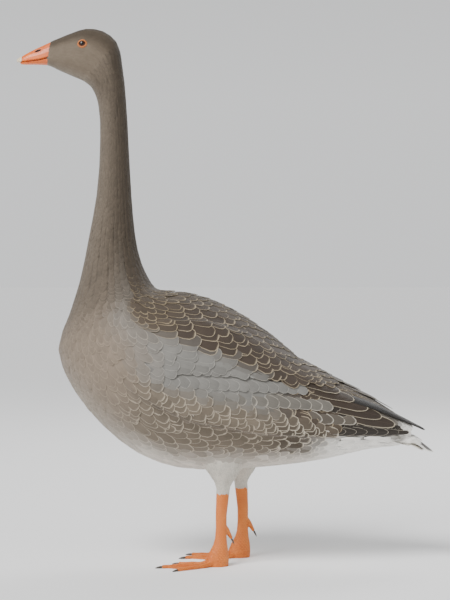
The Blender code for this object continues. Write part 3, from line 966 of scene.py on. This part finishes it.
def body_feathers(bed):
    """Breast, belly, flank, back and rump feathers, in three pieces."""
    coats = {"back": Coat(), "flank": Coat(), "breast": Coat()}
    for s, turn in grown_rows(bed, AT["neck_base"], BODY_TO, body_spacing, 0.85):
        place, normal = bed.spot(s, turn)
        if place is None or place.z < BODY_LOW:
            continue
        fold = folded(turn)
        wide = body_spacing(s, turn)
        colours = markings(s, turn)
        upper = fold < 2.1 and s < AT["keel"]
        style, toning, sway, unlike, long, broad, heights = UPPER if upper else LOWER
        tone = about(toning)
        heading = swayed(bed.lie(s, turn, normal), normal, sway)
        length = wide * long * about(unlike)
        covered = inside(place.x / MM, place.z / MM, PANEL) and 0.6 < fold < 1.9
        behind = place.x > QUILLS_FROM and place.z > QUILLS_OVER
        if covered or behind:
            sunk = 0.9 if behind else 1 - step(1.35, 1.75, fold)
            heights = [height - deeper * sunk for height, deeper in zip(heights, COVERED)]
        if behind and place.x < DARK_TO and fold > 0.5:
            colours = LOOKS["secondary"]
        roll = -0.05 if math.sin(turn) > 0 else 0.05
        group = "breast" if s > 7.2 else "back" if fold < 1.5 else "flank"
        coats[group].grow(bed, STYLES[style], place, normal, heading, length, wide * broad, heights,
                          0.5 * MM, roll, colours, root_place(s, turn), tone)
    for group, coat in coats.items():
        coat.finish(f"{group}_feathers", "plumage", VANE)


# ---------------- Neck and head feathers

NECK_COLUMNS = 34
# The stations that the columns run between: every other one starts and ends a little farther out.
NECK_FROM, NECK_TO = AT["nape"] + 0.9, AT["neck_base"] - 0.25
# At shares of the way from the neck's base to the nape: the gap from feather to feather, their half
# width beside the column's, and how high they arch, in millimetres.
NECK_GAP = (0, 0.15, 0.3, 0.9, 1), (7.5, 5.5, 4.4, 3.4, 2.8)
NECK_HALF = (0, 0.25, 1), (0.85, 0.72, 0.78)
NECK_ARCH = (0, 0.2, 0.85, 1), (0.5, 1.5, 1.2, 0.25)
# How long neck feathers are beside their gap, and head tufts, with their half width, beside theirs.
NECK_LONG, TUFT_LONG, TUFT_BROAD = 3.4, 3.6, 0.55
# At these stations: the gap from tuft to tuft, in millimetres.
HEAD_GAP = (16, 17.5, 19, 21, 22), (2.9, 2.4, 2.05, 1.75, 1.5)


def neck_feathers(bed):
    """Narrow feathers in arched columns, with furrows between them down the neck."""
    coat = Coat()
    for k in range(NECK_COLUMNS):
        s = NECK_FROM + 0.03 * (k % 2)
        while s > NECK_TO - 0.12 * (k % 2):
            share = (s - AT["neck_base"]) / (AT["nape"] - AT["neck_base"])
            turn = FULL_TURN * (k + 0.5) / NECK_COLUMNS
            turn += 0.22 * math.sin(turn) * (share - 0.5) + 0.018 * math.sin(9 * share + 2.1 * k)
            place, normal = bed.spot(s, turn)
            column = bed.half_width(s) * FULL_TURN / NECK_COLUMNS
            half = column * np.interp(share, *NECK_HALF) * about(0.08)
            gap = np.interp(share, *NECK_GAP) * MM
            if place is not None:
                heading = swayed(bed.lie(s, turn, normal), normal, 0.08)
                arch = np.interp(share, *NECK_ARCH)
                length = gap * NECK_LONG * about(0.08)
                coat.grow(bed, STYLES["neck"], place, normal, heading, length, half,
                          (0.5 - coat_depth(s), 0.35 - arch), arch * MM, 0, markings(s, turn),
                          root_place(s, turn), about(0.05))
            s -= gap / bed.rate(s, turn) * about(0.1)
    coat.finish("neck_feathers", "plumage", VANE)


def head_spacing(s, turn):
    """How far apart the tufts of the head stand, in metres."""
    return float(np.interp(s, *HEAD_GAP)) * MM


def off_lids(spot):
    """A place's way out from the middle of the nearer eye's lids."""
    centre, _, axis = SEATS["left" if spot.y < 0 else "right"]
    return spot - centre - axis * LID_FRONT


def parted(place, normal, heading):
    """A heading turned aside as a stream turns round a stone, so that the tufts part round the lids."""
    away = off_lids(place)
    away -= normal * away.dot(normal)
    out = away.normalized()
    share = min(1.0, (BARE_TALL / away.length) ** 2)
    return (heading + (heading - out * (2 * heading.dot(out))) * share).normalized()


def clear_of_eyes(*spots):
    aways = [off_lids(spot) for spot in spots]
    return all(math.hypot(away.x / BARE_WIDE, away.z / BARE_TALL) > 1 for away in aways)


def head_tufts(bed):
    """Small close tufts over the head, parted round the eyes."""
    coat = Coat()
    for s, turn in grown_rows(bed, AT["nape"] + 0.2, AT["bill_base"] - 0.03, head_spacing, 0.9):
        place, normal = bed.spot(s, turn)
        if place is None:
            continue
        wide = head_spacing(s, turn)
        heading = swayed(parted(place, normal, bed.lie(s, turn, normal)), normal, 0.14)
        length = wide * TUFT_LONG * about(0.12)
        half = wide * TUFT_BROAD * about(0.12)
        tone = about(0.045)
        if not clear_of_eyes(place, place + heading * (length / 2), place + heading * length):
            length *= 0.5
        if not clear_of_eyes(place, place + heading * length):
            continue
        depth = float(coat_depth(s))
        coat.grow(bed, STYLES["tuft"], place, normal, heading, length, half,
                  (0.1 - depth, -0.1 - 0.3 * depth), 0.12 * MM, 0, markings(s, turn),
                  root_place(s, turn), tone)
    coat.finish("head_feathers", "plumage", DOWN)


# ---------------- Wings

WING_TIP = Vector((345, 0, 203)) * MM
# Rows of the folded wing, lowest layer first: look, pattern, the tips' first and last
# place (x, z), how many, length, half width, how steeply they point down at the first
# and the last, and the depth of root and tip under the outline, in millimetres and degrees.
WING_ROWS = (
    ("secondary", "quill", (14, 221), (236, 209), 11, 88, 8.5, 15, 8, -5.2, -3.6),
    ("secondary", "quill", (292, 209), (188, 214), 7, 96, 8.0, 3, 7, -4.8, -1.6),
    ("greater", "covert", (-84, 249), (205, 229), 17, 58, 9.5, 27, 14, -4.6, -2.4),
    ("median", "covert", (-104, 272), (168, 252), 17, 40, 9.0, 30, 18, -4.0, -1.6),
    ("lesser", "covert", (-116, 293), (128, 278), 17, 30, 8.5, 31, 22, -3.4, -1.1),
    ("lesser", "covert", (-122, 313), (94, 302), 16, 27, 8.5, 31, 24, -3.2, -0.8),
)
# Long feathers that point at the wing's tip: look, their tips (x, z) first to last, how many,
# first and last length, first and last half width, the depths of root and tip, and how much
# higher each lies than the one before.
PRIMARIES = ("primary", (330, 206.5), (262, 240), 7, 150, 112, 7.2, 8.2, -4.4, -0.1, 0.35, 0.105)
TERTIALS = ("tertial", (268, 223), (158, 291), 6, 128, 84, 11.0, 13.0, -5.6, -0.8, 0, 0.1)
# Feathers over the middle of the back: their tips' x and distance from the middle, and their length.
INNER_TERTIALS = ((268, 5, 120), (242, 13, 112), (216, 9, 104), (190, 20, 98), (164, 12, 92), (138, 26, 84))
# The upper flank feathers that hold the wing's lower edge: how many, and their tips' x and z.
FLANK_LINE_COUNT = 15
FLANK_LINE = np.array(((-118, 268), (-57, 244), (55, 221), (165, 211)), float)


def trail_to(bed, tip, normal, heading_at, length, rows):
    """A feather's rows found backward from where its tip lies."""
    shares = (*rows, 1.0)
    place = tip
    trail = [(place, normal, heading_at(place, normal))]
    for after, before in zip(shares[::-1], shares[-2::-1]):
        place, normal = bed.under(place - trail[-1][2] * (length * (after - before)))
        trail.append((place, normal, heading_at(place, normal)))
    return trail[::-1]


def pointing(*direction):
    """Headings along one direction, laid on the surface."""
    return lambda place, normal: level(Vector(direction), normal)


def at_wing_tip(place, normal):
    """The heading to the wing's tip, laid on the surface."""
    return level(WING_TIP - place, normal)


def wing_root_place(place):
    """Where a wing feather's root lies on the wing's own unwrap: along it and down it."""
    return 0.5 + place.x / 0.7, 0.5 + (place.z - 0.3) / 0.5 * (0.5 if place.y < 0 else -0.5)


def lay_long(coat, bed, tip, normal, heading_at, style, length, half_width, heights, roll, name,
             camber=0.6, edged=0):
    """One long feather with its tip at this place, if the bed reaches there."""
    if tip is None:
        return
    style = STYLES[style]
    trail = trail_to(bed, tip, normal, heading_at, length * MM, style.rows)
    tone = about(0.05)
    coat.lay(bed, style, trail, half_width * MM, heights, camber * MM, roll, LOOKS[name],
             wing_root_place(trail[0][0]), tone, edged)


def tips_of(bed, side, first, last, count):
    """Each tip of a row on one side: its number, its share of the row, its place and the normal."""
    for k in range(count):
        share = k / (count - 1)
        x, z = (a + (b - a) * share for a, b in zip(first, last))
        tip, normal = bed.beside(side, x, z)
        if tip:
            yield k, share, tip, normal


def pointed_row(coat, bed, side, row, roll):
    """A row of long feathers that point at the wing's tip."""
    name, first, last, count, long, short, narrow, broad, low, high, low_rise, high_rise = row
    for k, share, tip, normal in tips_of(bed, side, first, last, count):
        lay_long(coat, bed, tip, normal, at_wing_tip, "quill", long + (short - long) * share,
                 narrow + (broad - narrow) * share, (low + low_rise * k, high + high_rise * k), roll, name)


def wing(bed, side):
    """The folded wing: coverts and secondaries in rows, primaries and tertials pointing at its tip."""
    way = SIDES[side]
    quills, coverts = Coat(), Coat()
    raised = 0.06 * way
    pointed_row(quills, bed, side, PRIMARIES, raised)
    for name, style, first, last, count, length, half, steep, flat, low, high in WING_ROWS:
        coat = quills if style == "quill" else coverts
        for _, share, tip, normal in tips_of(bed, side, first, last, count):
            fall = math.radians(steep + (flat - steep) * share + 2 * RANDOM.standard_normal())
            lay_long(coat, bed, tip, normal, pointing(math.cos(fall), 0, -math.sin(fall)), style,
                     length * about(0.05), half, (low, high), raised, name)
    pointed_row(quills, bed, side, TERTIALS, raised)
    for k, (x, out, length) in enumerate(INNER_TERTIALS):
        hit = bed.struck(Vector((x, way * out, 600)) * MM, -UP)
        lay_long(quills, bed, *hit, at_wing_tip, "quill", length, 13, (-6.2, 0.2 + 0.05 * k), raised / 2,
                 "tertial")
    for share in np.linspace(0, len(FLANK_LINE) - 1, FLANK_LINE_COUNT):
        x, z = (np.interp(share, range(len(FLANK_LINE)), column) for column in FLANK_LINE.T)
        lay_long(coverts, bed, *bed.beside(side, x, z), pointing(1, 0, 0.02), "covert", 62, 9.5,
                 (-4.2, -0.9), 0, "flank_line", edged=-way)
    quills.finish(f"wing_{side}_quills", "quills", QUILL, f"wingtip_{side}", f"wing_{side}")
    coverts.finish(f"wing_{side}_coverts", "wing_coverts", VANE, f"wing_{side}")


# ---------------- Tail

# The middle of the tail's thickness along it: x, z; and how far the outer tips fall back.
TAIL_COURSE = np.array(((250, 197), (266, 197), (286, 199), (299, 199.5), (308, 194.4), (319, 186),
                        (328, 178.9), (333.5, 174.9)), float)
TAIL_QUILLS = 16
TAIL_FALL = 14
TAIL_HALF_WIDTH = 41
# How far the fan's sides sink under its middle, in millimetres.
TAIL_SINK = 5
# Rows of coverts over (1) and under (-1) the tail: the tips' x, half the row's width, and how many.
TAIL_COVERTS = {
    1: ((314, 38, 11), (305, 36, 11), (296, 33, 10), (286, 28, 9), (276, 24, 8), (265, 22, 7)),
    -1: ((319, 39, 11), (310, 38, 11), (301, 36, 11), (291, 31, 10), (281, 26, 9), (270, 24, 8),
         (259, 23, 7), (248, 22, 7)),
}


def fan_trail(style, start, end):
    """A tail feather's rows between two places (x, y), along the tail's course."""
    trail = []
    run_x, run_y = end[0] - start[0], end[1] - start[1]
    for share in (*style.rows, 1.0):
        x, y = start[0] + run_x * share, start[1] + run_y * share
        z = np.interp(x, *TAIL_COURSE.T)
        slope = (np.interp(x + 3, *TAIL_COURSE.T) - np.interp(x - 3, *TAIL_COURSE.T)) / 6
        sink = TAIL_SINK * (y / TAIL_HALF_WIDTH) ** 2
        heading = Vector((run_x, run_y, slope * run_x)).normalized()
        normal = Vector((-slope, 2 * TAIL_SINK * y / TAIL_HALF_WIDTH**2, 1)).normalized()
        trail.append((Vector((x, y, z - sink)) * MM, level(normal, heading), heading))
    return trail


def tail(bed):
    """Sixteen tail quills in a fan, with soft white coverts over and under their bases."""
    quills, coverts = Coat(), Coat()
    style = STYLES["quill"]
    order = sorted(range(TAIL_QUILLS), key=lambda k: -abs(k - (TAIL_QUILLS - 1) / 2))
    for layer, k in enumerate(order):
        a = (2 * k - TAIL_QUILLS + 1) / (TAIL_QUILLS - 1)
        trail = fan_trail(style, (258, a * 16), (332.5 - TAIL_FALL * a * a, a * TAIL_HALF_WIDTH))
        name = "outer_tail" if abs(a) > 0.85 else "tail"
        rise = (-1.0 + 0.12 * layer, -0.7 + 0.12 * layer)
        quills.lay(None, style, trail, 7.0 * MM, rise, 0.3 * MM, -0.04 * math.copysign(1, a), LOOKS[name],
                   (0.5 + a * 0.4, 0.3 + 0.02 * layer), 1.0)
    for way, rows in TAIL_COVERTS.items():
        for row, (end_x, half, count) in enumerate(rows):
            high = 0.5 - 0.15 * row if way > 0 else 1.9 - 0.3 * row
            for k in range(count):
                a = (2 * k + 1 + row % 2) / count - 1
                start = Vector((end_x - 7 * a * a, a * half, 190 + way * 90)) * MM
                lay_long(coverts, bed, *bed.struck(start, -way * UP), pointing(1, 0.35 * a, 0), "soft", 46,
                         7.5, (-2.6, high), 0, "tail_coverts", 0.5)
    quills.finish("tail_quills", "quills", QUILL, "tail")
    coverts.finish("tail_coverts", "plumage", VANE, "tail")


# ---------------- Thighs

THIGH_ROWS, THIGH_GAP, THIGH_LOW = 16, 3.2, 123
# The reach of the rays that find a thigh's side, in metres.
THIGH_REACH = 0.06


def ends_of(node):
    """The middles of a long node's lowest and highest corners."""
    spots = [corner.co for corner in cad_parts[node].data.vertices]
    low = min(spot.z for spot in spots) + 1 * MM
    high = max(spot.z for spot in spots) - 1 * MM
    groups = [spot for spot in spots if spot.z < low], [spot for spot in spots if spot.z > high]
    return [sum(group, Vector()) / len(group) for group in groups]


def thigh_feathers():
    """Short soft feathers down the feathered part of each leg, over the top of its bare skin."""
    coat = Coat()
    bed = bed_of(Bed, [f"{part}_{side}" for part in ("thigh", "shank") for side in SIDES], 2 * MM, 8)
    for side in SIDES:
        heel, top = ends_of(f"shank_{side}")
        knee = sum(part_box(f"thigh_{side}"), Vector()) / 2
        for row in range(THIGH_ROWS):
            z = THIGH_LOW + THIGH_GAP * row
            axis = top.lerp(knee, max(0.0, (z * MM - top.z) / (knee.z - top.z)))
            lift = [np.interp(z, (THIGH_LOW, 134), pair) for pair in ((-0.4, -2.0), (0.6, 0.2))]
            count = 15 + row
            for k in range(count):
                out = around(FULL_TURN * (k + 0.5 * (row % 2) + 0.15 * RANDOM.standard_normal()) / count)
                start = Vector((axis.x, axis.y, z * MM)) + out * THIGH_REACH
                place, normal = bed.struck(start, -out)
                if place is None or (place - start).length > THIGH_REACH:
                    continue
                heading = -UP + normal * normal.z
                if heading.length < 0.3:
                    continue
                length = (10 + 0.3 * row) * MM * about(0.12)
                root_at = (k / count / 2 + (0 if side == "left" else 0.5), row / THIGH_ROWS)
                coat.grow(bed, STYLES["soft"], place, normal, heading.normalized(), length, 3.1 * MM, lift,
                          0.4 * MM, 0, LOOKS["thigh"], root_at, about(0.04), aim=heel)
    coat.finish("thigh_feathers", "plumage", VANE, *THIGHS)


# ---------------- Eyes

# Half the width and height of the opening between the lids, the width of the bare ring round it,
# and how high it stands, in millimetres.
LID_WIDE, LID_TALL = 5.2, 4.6
LID_BROAD, LID_THICK = 2.5, 0.42


def globe(side):
    """The eyeball, with how far each corner lies from the line it looks along, for iris and pupil."""
    centre, radius, axis = SEATS[side]
    piece = primitive("uv_sphere", f"eye_{side}_globe", segments=48, ring_count=36, radius=radius,
                      location=centre, rotation=axis.to_track_quat("Z", "Y").to_euler())
    smooth(piece)
    away = places(piece) - np.array(centre)
    along = away @ np.array(axis)
    off_axis = np.linalg.norm(away - along[:, None] * np.array(axis), axis=1) / MM
    given(piece, "off_axis", np.where(along > 0, off_axis, radius / MM))
    joined_on(piece, "eye", EYE, f"eye_{side}")


def lids(bed, side):
    """A ring of bare skin round the eye, folded along its run, from the eyeball to under the tufts."""
    centre, radius, axis = SEATS[side]
    forward = level(Vector((-1, 0, 0)), axis)
    up = axis.cross(forward) * -SIDES[side]
    piece = primitive("torus", f"eye_{side}_lids", major_segments=96, minor_segments=28, major_radius=1,
                      minor_radius=0.3)
    smooth(piece)
    x, y, z = places(piece).T
    spots = []
    for turn, tube in zip(np.arctan2(y, x), np.arctan2(z, np.hypot(x, y) - 1)):
        opening = math.hypot(LID_WIDE * math.cos(turn), LID_TALL * math.sin(turn))
        opening += 0.35 * abs(math.cos(turn)) ** 14
        out = (1 + math.cos(tube)) / 2
        off = (opening + LID_BROAD * out) * MM
        way = forward * math.cos(turn) + up * math.sin(turn)
        on_bed = (bed.struck(centre + way * off + axis * 0.03, -axis)[0] - centre).dot(axis)
        on_globe = math.sqrt(max(0.0, radius**2 - off**2)) + 0.1 * MM
        height = on_globe + (on_bed - on_globe) * step(0, 0.55, out)
        rise = LID_THICK * math.sin(tube) * (1 - 0.5 * out)
        if rise > 0:
            rise += 0.13 * math.cos(out * 4 * math.pi) * math.sin(tube) + 0.05 * math.sin(19 * turn) * out
        height += (rise - 0.75 * step(0.6, 1, out)) * MM
        spots.append(centre + way * off + axis * height)
    placed(piece, np.array(spots))
    if side == "right":
        edited(piece, bpy.ops.mesh.normals_make_consistent, inside=False)
    joined_on(piece, "leg_skin", LID)


# ---------------- Bill

# The cutting edge of the upper bill: x, z.
TOMIUM = np.array(((-324.8, 798.9), (-318.5, 799.3), (-306.5, 800.5), (-292.5, 802.6), (-281.8, 805.6)))
LAMELLA_PITCH, LAMELLA_DEPTH, LAMELLA_HEIGHT = 1.7, 0.28, 2.2
WRINKLE_PITCH, WRINKLE_DEPTH = 1.9, 0.05
# The nostril's middle, its half length and half height, its slope, and how high its rim stands.
NOSTRIL_X, NOSTRIL_Z, NOSTRIL_LONG, NOSTRIL_TALL = -299, 816, 5.0, 1.8
NOSTRIL_SLOPE = math.radians(20)
NOSTRIL_RIM = 0.18


def horn_form(name, node, voxel):
    """A bill node as a fine smooth form."""
    return moulded(name, [node], voxel * MM, 9, grow=0.25 * MM)


def bill():
    """The two mandibles with the lamellae along their edges, the nostrils, and the nail."""
    for name, node, way in (("upper_mandible", "bill_upper", 1), ("lower_mandible", "bill_lower", -1)):
        piece = horn_form(name, node, 0.42)
        spots, out = places(piece) / MM, normals(piece)
        x, y, z = spots.T
        over = (z - np.interp(x, *TOMIUM.T)) * way
        band = np.clip((LAMELLA_HEIGHT - over) / 1.2, 0, 1)
        band *= (np.abs(out[:, 1]) > 0.35) * np.clip((x + 323) / 6, 0, 1)
        comb = band * (0.5 + 0.5 * np.cos(FULL_TURN * (x - 0.4 * over) / LAMELLA_PITCH)) ** 1.5
        wrinkle = np.clip((x + 290) / 8, 0, 1) * np.cos(FULL_TURN * (x + 0.25 * z) / WRINKLE_PITCH)
        ahead, above = x - NOSTRIL_X, z - NOSTRIL_Z
        along = ahead * math.cos(NOSTRIL_SLOPE) + above * math.sin(NOSTRIL_SLOPE)
        off = above * math.cos(NOSTRIL_SLOPE) - ahead * math.sin(NOSTRIL_SLOPE)
        ring = np.hypot(along / NOSTRIL_LONG, off / NOSTRIL_TALL)
        rim = np.exp(-((ring - 1.7) / 0.4) ** 2) * (way > 0)
        rise = NOSTRIL_RIM * rim - LAMELLA_DEPTH * comb + WRINKLE_DEPTH * wrinkle
        placed(piece, (spots + out * rise[:, None]) * MM)
        # Painted shade, for the grooves between the lamellae and for the nostrils' hollows.
        given(piece, "groove_shade", comb)
        given(piece, "nostril_shade", np.clip((1.3 - ring) / 0.3, 0, 1) * (way > 0))
        joined_on(piece, "bill", BILL, node)
    joined_on(horn_form("bill_nail_horn", "bill_nail", 0.4), "bill_nail", NAIL, "bill_nail")


# ---------------- Legs

TOES = ("inner", "middle", "outer")
# Shank plates: the lowest row's height, the way from row to row, how many go round, and a
# plate's half length and height.
ANKLE_ROW, PLATE_ROW, PLATES_ROUND, PLATE_LONG, PLATE_HIGH = 12.5 * MM, 2.7 * MM, 14, 1.62 * MM, 0.26 * MM
# Toe scutes: the first one's way from the ankle, the way from one to the next, and their height.
FIRST_SCUTE, SCUTE_LONG, SCUTE_HIGH = 12 * MM, 3.1 * MM, 0.3 * MM


def plate_pattern():
    """A domed six-sided plate: its corners along, across and out, and its faces."""
    ring = [around(FULL_TURN * k / 6) for k in range(6)]
    corners = [(0, 0, 1.0)] + [(0.66 * a, 0.66 * b, 0.85) for a, b, _ in ring]
    corners += [(a, b, -0.8) for a, b, _ in ring]
    faces = [(0, 1 + k, 1 + (k + 1) % 6) for k in range(6)]
    faces += [(1 + k, 7 + k, 7 + (k + 1) % 6, 1 + (k + 1) % 6) for k in range(6)]
    faces.append(tuple(range(12, 6, -1)))
    return np.array(corners), faces


PLATE_CORNERS, PLATE_FACES = plate_pattern()


def plate(bed, place, normal, way, long, wide, height):
    """One plate's corners, bent over the form it lies on."""
    along = level(way, normal)
    across = normal.cross(along)
    spots = []
    for a, b, out in PLATE_CORNERS:
        spot, face_normal = bed.under(place + along * (a * long) + across * (b * wide))
        spots.append(spot + face_normal * (out * height))
    return spots


def shank_plates(bed, side):
    """Rows of small plates all round the shank, down to the ankle."""
    ankle, hock = ends_of(f"shank_{side}")
    drop = (ankle - hock) / (ankle.z - hock.z)
    plates = []
    for row, z in enumerate(np.arange(ANKLE_ROW, hock.z, PLATE_ROW)):
        axis = ankle + drop * (z - ankle.z)
        for k in range(PLATES_ROUND):
            out = around(FULL_TURN * (k + 0.5 * (row % 2)) / PLATES_ROUND)
            place, normal = bed.struck(axis + out * 0.03, -out)
            if place is None or (place - axis).length > 0.014 or abs(normal.z) > 0.7:
                continue
            wide = (place - axis).length * FULL_TURN / PLATES_ROUND * 0.54
            plates.append(plate(bed, place, normal, UP, PLATE_LONG, wide, PLATE_HIGH))
    return plates


def toe_scutes(bed, side):
    """Broad scutes across the top of each front toe, from the ankle to the claw."""
    ankle, _ = ends_of(f"shank_{side}")
    plates = []
    for toe in TOES:
        run = sum(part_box(f"claw_{side}_{toe}"), Vector()) / 2 - ankle
        run.z = 0
        reach = run.length - 5 * MM
        way = run.normalized()
        for k in range(int((reach - FIRST_SCUTE) / SCUTE_LONG)):
            far = FIRST_SCUTE + k * SCUTE_LONG
            place, normal = bed.struck(Vector((ankle.x, ankle.y, 0.05)) + way * far, -UP)
            if place is None or place.z > 0.03:
                continue
            wide = np.interp(far / reach, (0.1, 0.5, 1), (4.6, 3.9, 2.9)) * MM
            plates.append(plate(bed, place, normal, way, 0.56 * SCUTE_LONG, wide, SCUTE_HIGH))
    return plates


def leg(side):
    """The bare leg and webbed foot, the plates over them, and the claws."""
    _, top = ends_of(f"shank_{side}")
    # The bare skin runs on inside the thigh's feathers.
    core = primitive("cylinder", "core", vertices=24, radius=8 * MM, depth=26 * MM, location=top)
    nodes = [f"{part}_{side}" for part in ("shank", "foot", "hind_toe")]
    piece = moulded(f"leg_{side}_skin", nodes, 0.9 * MM, 3, grow=0.2 * MM, inner=[core])
    bed = Bed(piece)
    joined_on(piece, "leg_skin", LEG, *nodes)
    plates = shank_plates(bed, side) + toe_scutes(bed, side)
    pattern = np.array([corner for face in PLATE_FACES for corner in face])
    steps = np.arange(len(plates)) * len(PLATE_CORNERS)
    corners = (pattern[None, :] + steps[:, None]).ravel()
    sizes = np.tile([len(face) for face in PLATE_FACES], len(plates))
    scutes = joined_mesh(f"leg_{side}_scutes", np.array(plates).reshape(-1, 3), corners, sizes)
    # Each corner's height on its plate, which the horn's colour uses to paint shade low on the plates.
    given(scutes, "crown", np.tile(PLATE_CORNERS[:, 2], len(plates)))
    joined_on(scutes, "leg_skin", SCUTE)
    for toe in (*TOES, "hind"):
        node = f"claw_{side}_{toe}"
        claw = copied(node)
        claw.name = f"{node}_horn"
        applied(claw, "SUBSURF", levels=2, render_levels=2)
        smooth(claw)
        joined_on(claw, "claw", CLAW, node)


# ---------------- Build

def main():
    skin()
    thigh_feathers()
    nodes = FLESH + THIGHS + WINGTIPS + EYES + ("tail",)
    body_feathers(bed_of(BodyBed, nodes, 2.6 * MM, 24))
    bed = bed_of(BodyBed, nodes, 2.6 * MM, 10)
    neck_feathers(bed)
    nodes = ("head", "neck_upper", "neck_lower") + EYES + MANDIBLES
    head_bed = bed_of(BodyBed, nodes, 1.3 * MM, 10)
    head_tufts(head_bed)
    for side in SIDES:
        wing(bed, side)
        globe(side)
        lids(head_bed, side)
        leg(side)
    tail(bed_of(Bed, ("rump", "tail"), 1.3 * MM, 6))
    bill()


# ---------------- Studio

# The brightness of the sky, overhead and where it meets the floor, which it matches there.
DOME_LIGHT, HORIZON_LIGHT = 0.45, 1.0
SUN_WAY, SUN_POWER, SUN_ANGLE = (0.55, 0.75, -1.0), 2.5, math.radians(24)
# Lamps: their place, their width in metres, and their watts; all are turned to the bird's middle.
LAMPS = {
    "key": ((-1.5, -2.0, 2.3), 1.6, 50),
    "fill": ((2.4, -1.8, 1.2), 2.2, 12),
    "rim": ((1.2, 2.2, 2.4), 1.4, 40),
}
MIDDLE = Vector((0, 0, 0.42))
# The camera's place and what it looks at, in metres, and its lens and sensor in millimetres.
CAMERA_AT, CAMERA_AIM = Vector((-0.001, -2.9, 0.45)), Vector((-0.001, 0, 0.419))
CAMERA_LENS, CAMERA_SENSOR = 108.75, 36


def stood(name, data, place, toward):
    """A light or a camera at its place, turned one way."""
    stand = put(name, data)
    stand.location = place
    stand.rotation_euler = Vector(toward).to_track_quat("-Z", "Y").to_euler()
    return stand


def studio():
    """A plain pale floor, soft lights, and the camera at standing distance from the side."""
    floor = primitive("plane", "floor", size=240)
    paper, tree = material("seamless_paper_matt", 0.9)
    grain = add(tree, "TexNoise", add(tree, "TexCoord").outputs["Object"], Scale=900)
    floor.data.materials.append(finished(paper, add(tree, "MapRange", grain, 0.0, 1.0, 0.90, 0.94)))
    world = bpy.data.worlds.new("studio")
    world.use_nodes = True
    tree = world.node_tree
    height = add(tree, "SeparateXYZ", add(tree, "TexCoord").outputs["Generated"]).outputs["Z"]
    background = tree.nodes["Background"]
    fill(tree, background.inputs["Color"], "F4F5F6")
    fill(tree, background.inputs["Strength"],
         add(tree, "MapRange", height, 0.1, 0.5, HORIZON_LIGHT, DOME_LIGHT))
    bpy.context.scene.world = world
    sun = bpy.data.lights.new("sun", "SUN")
    sun.energy = SUN_POWER
    sun.angle = SUN_ANGLE
    stood("sun", sun, (0, 0, 0), SUN_WAY)
    for name, (place, size, watts) in LAMPS.items():
        lamp = bpy.data.lights.new(name, "AREA")
        lamp.size = size
        lamp.energy = watts
        stood(name, lamp, place, MIDDLE - Vector(place))
    view = bpy.data.cameras.new("camera")
    view.lens = CAMERA_LENS
    view.sensor_width = CAMERA_SENSOR
    bpy.context.scene.camera = stood("camera", view, CAMERA_AT, CAMERA_AIM - CAMERA_AT)


main()
studio()
